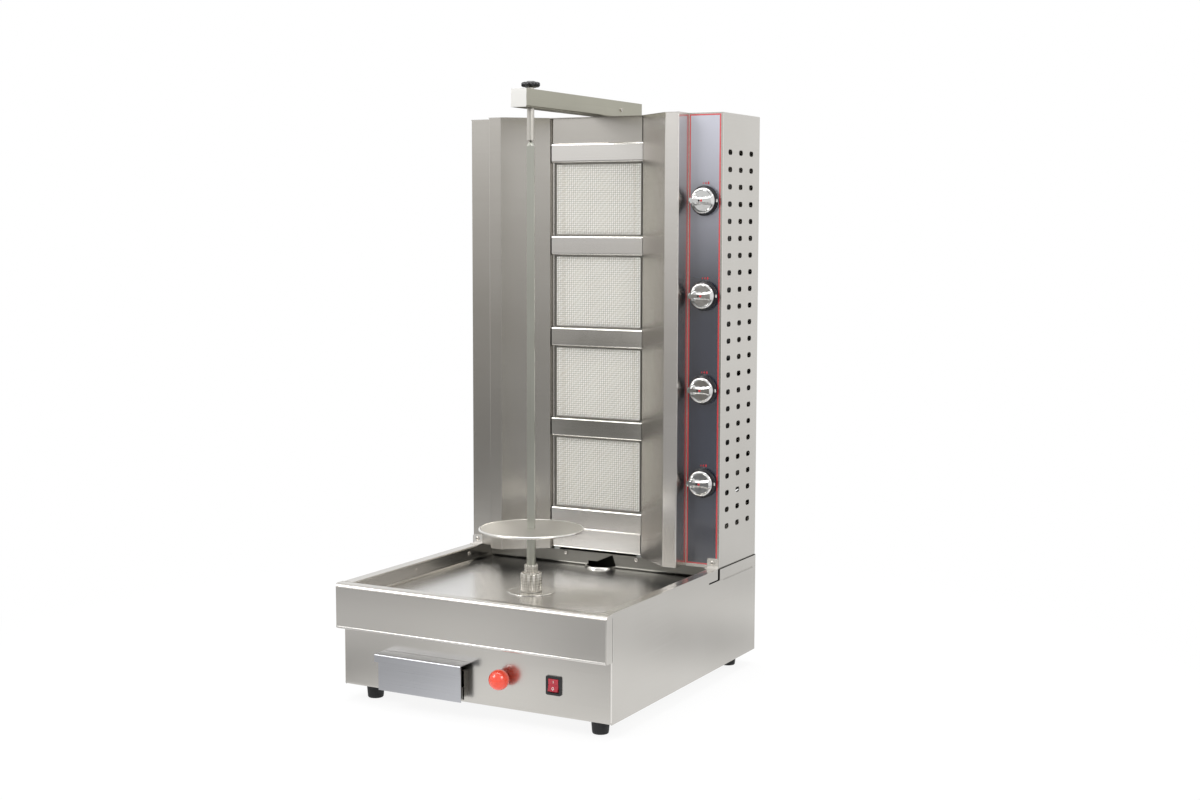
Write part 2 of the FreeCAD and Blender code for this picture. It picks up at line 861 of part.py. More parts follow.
def meat_disc():
    disc = rod(disc_r, disc_thick, (0, spit_y, disc_low()), (0, 0, 1))
    rims = [edge for edge in disc.Edges if isinstance(edge.Curve, Part.Circle)]
    disc = disc.makeFillet(min(disc_edge, disc_thick * round_share), rims)
    half = spit_side / 2 + disc_hole_gap
    hole = box(-half, half, spit_y - half, spit_y + half, disc_low() - 1, disc_low() + disc_thick + 1)
    hole.rotate(Vector(0, spit_y, 0), Vector(0, 0, 1), spit_turn)
    return disc.cut(hole)


# Tower
def tower_left_panel():
    """Left side of the tower; its front edge bends round to the wing."""
    path = [(-wing_outer, tower_front), (-half_tower, tower_front), (-half_tower, tower_rear - sheet)]
    panel = bent_strip("xy", path[::-1], [0, bend, 0], sheet, base_top, tower_under - base_top)
    return panel


def tower_right_panel():
    holes = []
    for column in range(vent_columns):
        for row in range(vent_rows):
            y = vent_first_y + column * vent_pitch_y
            z = vent_first_z + row * vent_pitch_z
            holes.append(obround("yz", y, z, vent_length, vent_height, half_tower - sheet))
    corners = [(tower_front + sheet, base_top), (tower_rear - sheet, base_top),
               (tower_rear - sheet, tower_under), (tower_front + sheet, tower_under)]
    return slab("yz", corners, [0] * 4, half_tower - sheet, sheet, holes)


def manifold_bottom():
    return knob_first_z - manifold_over


def inlet_level():
    return manifold_bottom() - manifold_side / 2


def tower_back_panel():
    level = tower_rear - sheet
    holes = [round_hole("xz", knob_x, inlet_level(), inlet_r + inlet_clearance, level)]
    for side in (-1, 1):
        for row in range(back_vent_rows):
            z = back_vent_top - row * back_vent_pitch
            holes.append(obround("xz", side * back_vent_x, z, back_vent_length, back_vent_height, level))
    corners = [(-half_tower, base_top), (half_tower, base_top), (half_tower, tower_under),
               (-half_tower, tower_under)]
    return slab("xz", corners, [0] * 4, level, sheet, holes)


def wing_plan():
    return [(wing_outer, tower_front), (wing_outer, wing_front), (wing_inner, wing_front),
            (reflector_inner, reflector_back)]


def tower_top_plate():
    """Cover of the tower, cut to the plan of the wings, with the slot for the arm's bolt."""
    right = [(half_tower, tower_rear), (half_tower, tower_front)] + wing_plan()
    left = [(-x, y) for x, y in right[::-1]]
    half = top_slot_width / 2
    slot_front = pivot_y - carriage_travel - half
    slot_rear = pivot_y + half
    slot = outline("xy", [(-half, slot_front), (half, slot_front), (half, slot_rear),
                          (-half, slot_rear)], [half] * 4, tower_under)
    points = right + left
    return slab("xy", points, [0] * len(points), tower_under, sheet, [slot])


def right_reflector():
    """Wing and reflector from one folded sheet: outer wall, front lip, slanted reflector."""
    low = base_top + wing_lift
    start = (reflector_inner, reflector_back + reflector_return)
    stop = (wing_outer, tower_front + sheet)
    path = [start] + wing_plan()[:0:-1] + [stop]
    return bent_strip("xy", path, [0, sheet + fold_inner, bend, bend, 0], sheet, low, tower_under - low)


def left_reflector():
    return mirrored(right_reflector())


def knob_heights():
    return [knob_first_z + k * knob_pitch for k in range(knob_count)]


def control_panel():
    holes = [round_hole("xz", knob_x, z, stem_hole_r, tower_front) for z in knob_heights()]
    corners = [(wing_outer, base_top), (half_tower, base_top), (half_tower, tower_under),
               (wing_outer, tower_under)]
    return slab("xz", corners, [0] * 4, tower_front, sheet, holes)


def control_film():
    level = tower_front - film_thick
    holes = [round_hole("xz", knob_x, z, stem_hole_r, level) for z in knob_heights()]
    left = wing_outer + film_left
    right = half_tower - film_right
    corners = [(left, film_low), (right, film_low), (right, film_high), (left, film_high)]
    film = slab("xz", corners, [0] * 4, level, film_thick, holes)
    bracket_left = half_tower - bracket_inset - bracket_width - film_notch_gap
    bracket_top = base_top + bracket_height + film_notch_gap
    return film.cut(box(bracket_left, half_tower, level - 1, tower_front + 1, base_top, bracket_top))


# Burner column between the wings
def post_front():
    return bar_front + bar_depth


def column_top_panel():
    low = bar_top - bar_bend
    half = column_half - column_panel_inset
    return box(-half, half, column_panel_front, column_panel_front + sheet, low, tower_under)


def column_lower_panel():
    top = sill_level - sill_height
    path = [(column_panel_front, top), (column_panel_front, column_low), (post_front(), column_low)]
    half = column_half - column_panel_inset
    return bent_strip("yz", path, [0, bend, 0], sheet, -half, 2 * half)


def trim_bar(top, height):
    """Box trim with rounded long edges, open at the back."""
    front = bar_front
    back = post_front()
    low = top - height
    points = [(back, low), (front, low), (front, top), (back, top)]
    outer = slab("yz", points, [0, bar_bend, bar_bend, 0], -column_half, 2 * column_half)
    inner_points = [(back + 1, low + sheet), (front + sheet, low + sheet),
                    (front + sheet, top - sheet), (back + 1, top - sheet)]
    inner_bend = bar_bend - sheet
    inner = slab("yz", inner_points, [0, inner_bend, inner_bend, 0], -column_half + sheet,
                 2 * (column_half - sheet))
    return outer.cut(inner)


def column_bars():
    bars = []
    for k in range(bar_count):
        bar = trim_bar(bar_top - k * bar_pitch, bar_height)
        if k == 0:
            bar = bar.cut(box(-half_base, half_base, column_panel_front, post_front() + 1,
                              bar_top - bar_bend, tower_top))
        bars.append(bar)
    sill = trim_bar(sill_level, sill_height)
    bars.append(sill)
    return group(bars)


def burner_posts():
    """Two folded angles that stand on the deck and carry bars, screens and burners."""
    front = post_front()
    rear = front + post_depth
    inner = column_half - post_web
    path = [(inner, front), (column_half, front), (column_half, rear)]
    post = bent_strip("xy", path, [0, sheet + fold_inner, 0], sheet, base_top, tower_under - base_top)
    for z in knob_heights():
        hole = rod(tube_r + tube_clearance, 6 * sheet, (column_half - 3 * sheet, tube_y, z), (1, 0, 0))
        post = post.cut(hole)
    return group([post, mirrored(post)])


def window_low(k):
    return bar_top - (k + 1) * bar_pitch


def window_high(k):
    return bar_top - k * bar_pitch - bar_height


def mesh_screens():
    """Rim and crossed wires in front of each burner."""
    solids = []
    back = screen_front + screen_thick
    for k in range(bar_count):
        low = window_low(k) + seat_gap
        high = window_high(k) - seat_gap
        inner = screen_half - screen_rim
        rim = box(-screen_half, screen_half, screen_front, back, low, high)
        rim = rim.cut(box(-inner, inner, screen_front - 1, back + 1, low + screen_rim, high - screen_rim))
        solids.append(rim)
        middle = (screen_front + back) / 2
        columns = int(2 * inner / wire_pitch)
        for c in range(1, columns):
            x = -inner + c * 2 * inner / columns
            solids.append(box(x - wire / 2, x + wire / 2, middle - wire, middle, low + screen_rim,
                              high - screen_rim))
        height = high - low - 2 * screen_rim
        rows = int(height / wire_pitch)
        for r in range(1, rows):
            z = low + screen_rim + r * height / rows
            solids.append(box(-inner, inner, middle, middle + wire, z - wire / 2, z + wire / 2))
    return group(solids)


def housing_front():
    return post_front() + sheet


def housing_range(k):
    return (window_low(k) - housing_extra, window_high(k) + housing_extra)


def burner_housings():
    """Pressed burner boxes, open to the front, each with a hole for its mixer tube."""
    solids = []
    front = housing_front()
    wall = sheet
    for k in range(bar_count):
        low, high = housing_range(k)
        body = box(-housing_half, housing_half, front, front + housing_depth, low, high)
        body = body.cut(box(-housing_half + wall, housing_half - wall, front - 1,
                            front + housing_depth - wall, low + wall, high - wall))
        z = knob_heights()[bar_count - 1 - k]
        solids.append(body.cut(rod(tube_r, 4 * wall, (housing_half - 2 * wall, tube_y, z), (1, 0, 0))))
    return group(solids)


def ceramic_plates():
    solids = []
    front = housing_front() + plate_set_back
    edge = housing_half - sheet
    for k in range(bar_count):
        low, high = housing_range(k)
        for left, right in ((-edge, 0), (0, edge)):
            solids.append(box(left, right, front, front + plate_thick, low + sheet, high - sheet))
    return group(solids)


# Gas train behind the control panel
def gas_valves():
    solids = []
    front = tower_front + sheet
    for z in knob_heights():
        body = box(knob_x - valve_width / 2, knob_x + valve_width / 2, front, front + valve_depth,
                   z - valve_height / 2, z + valve_height / 2)
        bore_depth = stem_inside + knob_push + seat_gap
        bore = rod(stem_r + stem_fit, bore_depth, (knob_x, front, z), (0, 1, 0))
        solids.append(body.cut(bore))
    return group(solids)


def mixer_tubes():
    solids = []
    left = housing_half - sheet
    right = knob_x - valve_width / 2
    for z in knob_heights():
        tube = rod(tube_r, right - left, (left, tube_y, z), (1, 0, 0))
        solids.append(tube.cut(rod(tube_bore_r, right - left, (left, tube_y, z), (1, 0, 0))))
    return group(solids)


def gas_manifold():
    """Square riser behind the valves and the threaded inlet through the back panel."""
    front = tower_front + sheet + valve_depth
    half = manifold_side / 2
    low = manifold_bottom() - manifold_side
    high = knob_heights()[-1] + manifold_over
    riser = box(knob_x - half, knob_x + half, front, front + manifold_side, low, high)
    start = front + manifold_side
    neck = rod(inlet_neck_r, inlet_rear - start, (knob_x, start, inlet_level()), (0, 1, 0))
    thread = rod(inlet_r, inlet_thread, (knob_x, inlet_rear - inlet_thread, inlet_level()), (0, 1, 0))
    bore = rod(inlet_bore_r, inlet_rear - start, (knob_x, start, inlet_level()), (0, 1, 0))
    return riser.fuse([neck, thread]).removeSplitter().cut(bore)


def cable_gland():
    flange = rod(gland_flange_r, gland_flange, (gland_x, base_depth, gland_z), (0, 1, 0))
    neck = rod(gland_r, gland_length, (gland_x, base_depth, gland_z), (0, 1, 0))
    tail = rod(gland_r, gland_flange, (gland_x, base_depth - gland_flange, gland_z), (0, 1, 0))
    bore = rod(gland_bore_r, gland_length + 2 * gland_flange,
               (gland_x, base_depth - gland_flange, gland_z), (0, 1, 0))
    return flange.fuse([neck, tail]).removeSplitter().cut(bore)


# Knobs
def knob_back():
    return tower_front - film_thick - knob_stand


def valve_stem(z):
    front = knob_back() - knob_bore_depth + seat_gap
    rear = tower_front + sheet + stem_inside
    return rod(stem_r, rear - front, (knob_x, front, z), (0, 1, 0))


def knob(z):
    """Round cap on a wider skirt, with a raised grip bar across its face."""
    back = knob_back()
    skirt = rod(knob_skirt_r, knob_skirt_thick, (knob_x, back - knob_skirt_thick, z), (0, 1, 0))
    cap_front = back - knob_skirt_thick - knob_cap_depth
    cap = rod(knob_cap_r, knob_cap_depth, (knob_x, cap_front, z), (0, 1, 0))
    rims = [edge for edge in cap.Edges if isinstance(edge.Curve,
                                                     Part.Circle) and edge.CenterOfMass.y < cap_front + 1]
    cap = cap.makeFillet(min(knob_cap_round, knob_cap_depth / 2), rims)
    half = knob_grip_width / 2
    reach = knob_cap_r - knob_grip_margin
    grip_front = cap_front - knob_grip_depth
    grip_points = [(knob_x - reach, z - half), (knob_x + reach, z - half),
                   (knob_x + reach, z + half), (knob_x - reach, z + half)]
    grip = slab("xz", grip_points, [half] * 4, grip_front, knob_grip_depth + knob_cap_depth / 2)
    body = skirt.fuse([cap, grip]).removeSplitter()
    return body.cut(rod(stem_r + stem_fit, knob_bore_depth, (knob_x, back - knob_bore_depth, z),
                        (0, 1, 0)))


# Brackets, screws and feet
def corner_brackets():
    """One angle at each lower front corner of the tower, down to the base rim."""
    right = half_tower - bracket_inset
    left = right - bracket_width
    top = base_top + bracket_height
    corners = [(left, base_top), (right, base_top), (right, top), (left, top)]
    upright = slab("xz", corners, [0, 0, bracket_corner, bracket_corner],
                   tower_front - bracket_thick, bracket_thick)
    foot = box(left, right, tower_front - bracket_foot, tower_front, base_top, base_top + bracket_thick)
    bracket = upright.fuse(foot).removeSplitter()
    return group([bracket, mirrored(bracket)])


def screw_head(x, y, z, direction):
    """Domed head on its seat; the dome points along the direction."""
    head = Part.makeCylinder(screw_r, screw_height, Vector(0, 0, 0), Vector(0, 0, 1))
    rims = [edge for edge in head.Edges if isinstance(edge.Curve,
                                                      Part.Circle) and edge.CenterOfMass.z > screw_height / 2]
    head = head.makeFillet(min(screw_round, screw_height - seat_gap), rims)
    head.Placement = FreeCAD.Placement(Vector(x, y, z),
                                       FreeCAD.Rotation(Vector(0, 0, 1), Vector(*direction)))
    return head


def panel_screws():
    heads = []
    for side in (-1, 1):
        for y in tray_screw_y:
            heads.append(screw_head(side * tray_half, y, tray_screw_z, (-side, 0, 0)))
        heads.append(screw_head(side * rear_screw_x, tray_rear, rear_screw_z, (0, -1, 0)))
        bracket_x = half_tower - bracket_inset - bracket_width / 2
        bracket_z = base_top + bracket_thick + (bracket_height - bracket_thick) / 2
        heads.append(screw_head(side * bracket_x, tower_front - bracket_thick, bracket_z, (0, -1, 0)))
        edge = side * (half_tower - back_screw_inset)
        for z in (base_top + back_screw_inset, (base_top + tower_top) / 2, tower_top - back_screw_inset):
            heads.append(screw_head(edge, tower_rear, z, (0, 1, 0)))
        base_edge = side * (half_base - back_screw_inset)
        for z in (base_low + back_screw_inset, flange_under - back_screw_inset):
            heads.append(screw_head(base_edge, base_depth, z, (0, 1, 0)))
    return group(heads)


def rubber_feet():
    feet = []
    for x in (-half_base + foot_inset_x, half_base - foot_inset_x):
        for y in (foot_inset_y, base_depth - foot_inset_y):
            foot = Part.makeCone(foot_bottom_r, foot_top_r, foot_height, Vector(x, y, 0), Vector(0, 0, 1))
            feet.append(foot.cut(rod(foot_bore_r, foot_bore_depth, (x, y, 0), (0, 0, 1))))
    return group(feet)


# Upper support
def arm_low():
    return tower_top + arm_lift


def arm_pivot_bolt():
    """Bolt that turns in the arm and slides with it in the slot of the top plate."""
    washer_top = arm_low() - arm_lift / 2
    under = tower_under - arm_lift / 2
    thread_low = under - pivot_head_height
    shank = rod(pivot_r, arm_low() + arm_sheet + seat_gap - thread_low, (0, pivot_y, thread_low),
                (0, 0, 1))
    head = rod(pivot_head_r, pivot_head_height, (0, pivot_y, arm_low() + arm_sheet + seat_gap), (0, 0, 1))
    nut = rod(pivot_head_r, under - thread_low, (0, pivot_y, thread_low), (0, 0, 1))
    washer = rod(pivot_collar_r, washer_top - tower_top, (0, pivot_y, tower_top), (0, 0, 1))
    return shank.fuse([head, nut, washer]).removeSplitter()


def support_arm():
    """Folded angle: flat flange below, upright web on the right, closed at both ends."""
    low = arm_low()
    path = [(-arm_half, low), (arm_half, low), (arm_half, low + arm_height)]
    front = spit_y - arm_nose
    rear = tower_rear + arm_tail
    arm = bent_strip("xz", path, [0, arm_bend, 0], arm_sheet, front, rear - front)
    ends = []
    for start in (front, rear - arm_sheet):
        ends.append(box(-arm_half, arm_half - arm_sheet / 2, start, start + arm_sheet, low,
                        low + arm_height))
    arm = arm.fuse(ends).removeSplitter()
    pin_hole = rod(pin_r + pin_fit, 6 * arm_sheet, (0, spit_y, low - 2 * arm_sheet), (0, 0, 1))
    bolt_hole = rod(pivot_r + pivot_fit, 6 * arm_sheet, (0, pivot_y, low - 2 * arm_sheet), (0, 0, 1))
    return arm.cut([pin_hole, bolt_hole])


def star_low():
    return arm_low() + arm_height + star_gap


def top_pin():
    """Smooth pin whose lower end is cupped over the point of the spit."""
    low = spit_tip + pin_gap
    high = star_low() + star_hold
    pin = rod(pin_r, high - low, (0, spit_y, low), (0, 0, 1))
    cup_top = pin_cup_r - pin_cup_depth * spit_point_taper
    cup = Part.makeCone(pin_cup_r, cup_top, pin_cup_depth, Vector(0, spit_y, low), Vector(0, 0, 1))
    return pin.cut(cup)


def star_knob():
    low = star_low()
    hub_r = star_r - star_lobe_r
    hub = rod(hub_r, star_rim, (0, spit_y, low), (0, 0, 1))
    lobes = []
    for k in range(star_lobes):
        x, y = polar(star_r - star_lobe_r, 360.0 * k / star_lobes + star_turn)
        lobes.append(rod(star_lobe_r, star_rim, (x, spit_y + y, low), (0, 0, 1)))
    dome_rise = star_height - star_rim
    dome_r = (hub_r ** 2 + dome_rise ** 2) / (2 * dome_rise)
    dome = Part.makeSphere(dome_r, Vector(0, spit_y, low + star_height - dome_r))
    dome = dome.common(rod(hub_r, star_height, (0, spit_y, low), (0, 0, 1)))
    body = hub.fuse(lobes + [dome]).removeSplitter()
    return body.cut(rod(pin_r, star_hold, (0, spit_y, low), (0, 0, 1)))


def save(name, shape):
    shape.translate(Vector(0, -origin_y, 0))
    shape.exportStep("parts/" + name + ".step")


os.makedirs("parts", exist_ok=True)
single_parts = [
    base_floor_pan, base_left_panel, base_right_panel, base_rear_panel, base_front_panel, front_fascia,
    tray_floor, tray_left_wall, tray_right_wall, tray_rear_wall, drain_spout,
    drawer_runners, drawer_box, drawer_front, switch_bezel, rocker,
    carriage_rails, motor_carriage, gear_motor, pull_rod, ball_knob, shaft_cover_disc,
    drive_coupling, output_shaft, spit, meat_disc,
    tower_left_panel, tower_right_panel, tower_back_panel, tower_top_plate,
    left_reflector, right_reflector, control_panel, control_film,
    column_top_panel, column_lower_panel, column_bars, burner_posts, mesh_screens, burner_housings, ceramic_plates,
    gas_valves, mixer_tubes, gas_manifold, cable_gland,
    corner_brackets, panel_screws, rubber_feet,
    arm_pivot_bolt, support_arm, top_pin, star_knob,
]
for make in single_parts:
    save(make.__name__, make())
for number, height in enumerate(knob_heights(), 1):
    save("valve_stem_" + str(number), valve_stem(height))
    save("knob_" + str(number), knob(height))
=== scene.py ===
import bmesh
import bpy
import math
import numpy as np
from mathutils import Matrix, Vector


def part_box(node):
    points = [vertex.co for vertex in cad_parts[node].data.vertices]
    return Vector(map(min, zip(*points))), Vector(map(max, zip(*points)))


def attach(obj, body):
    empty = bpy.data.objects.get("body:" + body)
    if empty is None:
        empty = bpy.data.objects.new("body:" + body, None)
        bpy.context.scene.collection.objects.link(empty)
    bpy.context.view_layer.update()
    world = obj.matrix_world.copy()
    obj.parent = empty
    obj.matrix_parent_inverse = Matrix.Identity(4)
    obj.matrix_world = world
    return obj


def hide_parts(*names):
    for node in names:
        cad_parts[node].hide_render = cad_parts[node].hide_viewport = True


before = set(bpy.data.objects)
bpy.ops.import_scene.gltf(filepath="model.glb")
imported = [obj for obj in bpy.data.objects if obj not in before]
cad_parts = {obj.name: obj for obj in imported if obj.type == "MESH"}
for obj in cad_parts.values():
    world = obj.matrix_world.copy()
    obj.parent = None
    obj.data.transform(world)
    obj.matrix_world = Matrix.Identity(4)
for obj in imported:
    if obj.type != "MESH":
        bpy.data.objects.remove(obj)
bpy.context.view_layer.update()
print("frame loaded:", len(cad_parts), "nodes")

scene = bpy.context.scene
scene.view_settings.view_transform = "Standard"


# Camera: the tower is seen from front right, a little above its middle
camera = {
    "place": (1.44046, -2.50788, 0.7812),  # metres from the middle of the footprint
    "turn": 28.417,  # degrees to the left of straight back
    "tilt": -5.805,  # degrees, negative looks down
    "roll": 0.151,
    "lens": 51.27,
    "sensor": 36.0,
}


def placed(place, x, y, z):  # matrix of an item at a place, with its three axes in these directions
    matrix = Matrix.Identity(4)
    for row in range(3):
        matrix[row] = (x[row], y[row], z[row], place[row])
    return matrix


def makeCamera(s):
    turn, tilt, roll = (math.radians(s[k]) for k in ("turn", "tilt", "roll"))
    ahead = np.array([-math.sin(turn) * math.cos(tilt), math.cos(turn) * math.cos(tilt), math.sin(tilt)])
    level = np.array([math.cos(turn), math.sin(turn), 0.0])
    upright = np.cross(level, ahead)
    right = level * math.cos(roll) + upright * math.sin(roll)
    up = upright * math.cos(roll) - level * math.sin(roll)
    data = bpy.data.cameras.new("photoCamera")
    data.lens = s["lens"]
    data.sensor_width = s["sensor"]
    data.clip_start = 0.05
    data.clip_end = 60.0
    item = bpy.data.objects.new("photoCamera", data)
    scene.collection.objects.link(item)
    item.matrix_world = placed(s["place"], right, up, -ahead)
    scene.camera = item


makeCamera(camera)


# Helpers for materials
def toLinear(hexColour):
    values = [int(hexColour[k:k + 2], 16) / 255 for k in (1, 3, 5)]
    return tuple(v / 12.92 if v <= 0.04045 else ((v + 0.055) / 1.055) ** 2.4 for v in values) + (1.0,)


def addNode(tree, kind, values=None, links=None, **settings):
    node = tree.nodes.new("ShaderNode" + kind)
    for name, value in settings.items():
        setattr(node, name, value)
    for socket, value in (values or {}).items():
        node.inputs[socket].default_value = value
    for socket, source in (links or {}).items():
        tree.links.new(source, node.inputs[socket])
    return node


def newMaterial(name, colour, roughness, metallic=0.0, **shine):
    material = bpy.data.materials.new(name)
    material.use_nodes = True
    tree = material.node_tree
    shader = tree.nodes["Principled BSDF"]
    shader.inputs["Base Color"].default_value = toLinear(colour)
    shader.inputs["Roughness"].default_value = roughness
    shader.inputs["Metallic"].default_value = metallic
    for socket, value in shine.items():
        shader.inputs[socket].default_value = value
    return material, tree, shader


def addPattern(tree, kind, size, values=None, **settings):  # size in metres, one or one for each axis
    place = addNode(tree, "TexCoord")
    scaled = addNode(tree, "Mapping", {"Scale": tuple(1 / np.broadcast_to(size, 3))},
                     {"Vector": place.outputs["Object"]})
    return addNode(tree, kind, {"Scale": 1.0, **(values or {})}, {"Vector": scaled.outputs[0]}, **settings)


mapRange = ("From Min", "From Max", "To Min", "To Max")


def dressShader(tree, shader, tone=None, rough=None, height=None, relief=0.0):  # relief in metres
    normal = addNode(tree, "Bump", {"Distance": relief}, {"Height": height}).outputs[0] if relief else None
    for name, socket in (("Base Color", tone), ("Roughness", rough), ("Normal", normal)):
        if socket:
            tree.links.new(socket, shader.inputs[name])


def layFinish(tree, shader, field, tones, gloss, height=None, relief=0.0, toneRange=(0.0, 1.0)):
    # field is a noise that turns the tone and the gloss, height is what the relief follows
    share = addNode(tree, "MapRange", dict(zip(mapRange, toneRange)), {"Value": field})
    tone = addNode(tree, "Mix", {6: toLinear(tones[0]), 7: toLinear(tones[1])}, {0: share.outputs[0]},
                   data_type="RGBA")
    rough = None
    if gloss[0] != gloss[1]:
        bounds = dict(zip(mapRange, (0.25, 0.75, *gloss)))  # the field's middle half spans the gloss
        rough = addNode(tree, "MapRange", bounds, {"Value": field}).outputs[0]
    dressShader(tree, shader, tone.outputs[2], rough, height, relief)


# Sheet steel, brushed with a belt: fine parallel lines that smear what it mirrors.
# Real lines are about 0.2 mm apart, too fine to show, so they are drawn 0.6 mm apart.
steel = {
    "dark": "#c4c1bb",
    "light": "#cdcac5",
    "lineGap": 0.0006,
    "lineLength": 0.22,
    "smudge": 0.16,  # size of the soft hand marks
    "toneRange": (0.3, 0.7),  # values of the mixed noise that give the dark and the light tone
    "smooth": 0.18,
    "rough": 0.28,
    "relief": 0.0000018,
}


def brushedSteel(name, fine, dark=None, light=None, smooth=None, rough=None, relief=None):
    s = steel
    material, tree, shader = newMaterial(name, s["light"], s["rough"], 1.0)
    size = [s["lineGap"] if axis in fine else s["lineLength"] for axis in "xyz"]
    lines = addPattern(tree, "TexNoise", size, {"Detail": 3.0, "Roughness": 0.6})
    marks = addPattern(tree, "TexNoise", s["smudge"], {"Detail": 3.0})
    half = addNode(tree, "Math", {1: 0.5}, {0: lines.outputs[0]}, operation="MULTIPLY")
    mixed = addNode(tree, "Math", {1: 0.5}, {0: marks.outputs[0], 2: half.outputs[0]},
                    operation="MULTIPLY_ADD")
    tones = (dark or s["dark"], light or s["light"])
    gloss = (smooth or s["smooth"], rough or s["rough"])
    layFinish(tree, shader, mixed.outputs[0], tones, gloss, lines.outputs[0], relief or s["relief"],
              s["toneRange"])
    return material


# Steel that turns to another tone near a place: painted shade on the lower burner bars, and a darker patch on
# the tray floor right of the spit
nearTone = {"patch": 0.09, "wander": 0.5, "fullTo": 0.25, "goneFrom": 1.25}  # metres, then shares of the reach


def tonedNear(material, centre, reach, tone, share):
    s = nearTone
    tree = material.node_tree
    shader = tree.nodes["Principled BSDF"]
    clean = shader.inputs["Base Color"].links[0].from_socket
    place = addNode(tree, "TexCoord")
    wobble = addPattern(tree, "TexNoise", s["patch"], {"Detail": 3.0})
    away = addNode(tree, "VectorMath", {1: centre}, {0: place.outputs["Object"]}, operation="DISTANCE")
    uneven = addNode(tree, "Math", {1: reach * s["wander"]}, {0: wobble.outputs[0], 2: away.outputs["Value"]},
                     operation="MULTIPLY_ADD")
    fade = dict(zip(mapRange, (reach * s["fullTo"], reach * s["goneFrom"], share, 0.0)))
    near = addNode(tree, "MapRange", fade, {"Value": uneven.outputs[0]}, interpolation_type="SMOOTHSTEP")
    mixed = addNode(tree, "Mix", {7: toLinear(tone)}, {0: near.outputs[0], 6: clean}, data_type="RGBA")
    dressShader(tree, shader, mixed.outputs[2])
    return material


# The arm's flat steel: greenish grey along its sides, while faces that look along the arm are painted pale as
# painted light
armFaces = {"sides": ("#a09e90", "#adab9e"), "gloss": (0.26, 0.36), "ends": "#ecebe7",
            "turn": (0.5, 0.9)}  # how squarely a face looks along the arm where it starts and ends to be pale


def armSteel(s):
    material = brushedSteel("brushedFlatSteelArm", "z", *s["sides"], *s["gloss"])
    tree = material.node_tree
    shader = tree.nodes["Principled BSDF"]
    tone = shader.inputs["Base Color"].links[0].from_socket
    place = addNode(tree, "TexCoord")
    axes = addNode(tree, "SeparateXYZ", links={0: place.outputs["Normal"]})
    facing = addNode(tree, "Math", links={0: axes.outputs[1]}, operation="ABSOLUTE")
    # painted light: faces that look along the arm turn to the pale tone
    paintedLightShare = addNode(tree, "MapRange", dict(zip(mapRange, s["turn"])), {"Value": facing.outputs[0]})
    mixed = addNode(tree, "Mix", {7: toLinear(s["ends"])}, {0: paintedLightShare.outputs[0], 6: tone}, data_type="RGBA")
    dressShader(tree, shader, mixed.outputs[2])
    return material


# Finishes with soft clouds: tones from deep to bright, gloss from smoothest to roughest, cloud size in
# metres, and a relief that follows the clouds, or a finer grain where one is given
clouded = {
    # Zinc plated steel: blue-grey, dull, with faint cloudy patches 6 mm across
    "zinc": {"name": "zincPlatedSteel", "tones": ("#858785", "#aeb0ae"), "gloss": (0.34, 0.52),
             "metallic": 1.0, "cloud": 0.006, "detail": 4.0, "broken": 0.6, "relief": 0.00004},
    # Nickel plated screws: brighter and smoother than the sheet around them
    "screw": {"name": "nickelPlatedScrew", "tones": ("#b4b0a9", "#d0ccc6"), "gloss": (0.14, 0.3),
              "metallic": 1.0, "cloud": 0.0012},
    # Sand cast aluminium: light grey with a 0.8 mm pebbled skin
    "cast": {"name": "castAluminium", "tones": ("#7a7c7e", "#9fa1a2"), "gloss": (0.55, 0.55),
             "metallic": 0.9, "cloud": 0.0008, "detail": 3.0, "broken": 0.6, "relief": 0.00015},
    # Yellow brass, turned: warm and smooth with rings too fine to see
    "brass": {"name": "turnedBrass", "tones": ("#b38f48", "#d6b46c"), "gloss": (0.2, 0.36),
              "metallic": 1.0, "cloud": (0.02, 0.0006, 0.02)},
    # Moulded rubber: near black, soft sheen, a 0.6 mm matt grain and pale dust in patches
    "rubber": {"name": "mouldedRubber", "tones": ("#0b0c0e", "#141517"), "gloss": (0.5, 0.74),
               "cloud": 0.012, "detail": 3.0, "grain": 0.0006, "relief": 0.00005},
    # Chromed plastic: a clean mirror with very slight moulding waves 7 mm long
    "chrome": {"name": "chromedPlastic", "tones": ("#cfcfce", "#e4e4e3"), "gloss": (0.05, 0.13),
               "metallic": 1.0, "cloud": 0.007, "relief": 0.00004},
    # Heat proof iron-chrome wire: dull silver with grey heat tint in patches 40 mm across
    "wire": {"name": "heatProofWire", "tones": ("#99968d", "#b6b3aa"), "gloss": (0.3, 0.46),
             "metallic": 0.5, "cloud": 0.04, "detail": 3.0},
}


def cloudedFinish(s):
    material, tree, shader = newMaterial(s["name"], s["tones"][1], s["gloss"][0], s.get("metallic", 0.0),
                                         **s.get("shine", {}))
    noise = {"Detail": s.get("detail", 2.0), "Roughness": s.get("broken", 0.5)}
    clouds = addPattern(tree, "TexNoise", s["cloud"], noise)
    height = addPattern(tree, "TexNoise", s["grain"], {"Detail": 2.0}) if "grain" in s else clouds
    layFinish(tree, shader, clouds.outputs[0], s["tones"], s["gloss"], height.outputs[0],
              s.get("relief", 0.0))
    return material


# Moulded plastic: smooth skin with faint flow clouds 9 mm across and a 0.5 mm spark grain
def mouldedPlastic(name, deep, bright, roughness, coat=0.0):
    return cloudedFinish({
        "name": name, "tones": (deep, bright), "gloss": (roughness * 0.8, roughness * 1.25),
        "cloud": 0.009, "grain": 0.0005, "relief": 0.00001,
        "shine": {"IOR": 1.5, "Coat Weight": coat, "Coat Roughness": 0.05}})
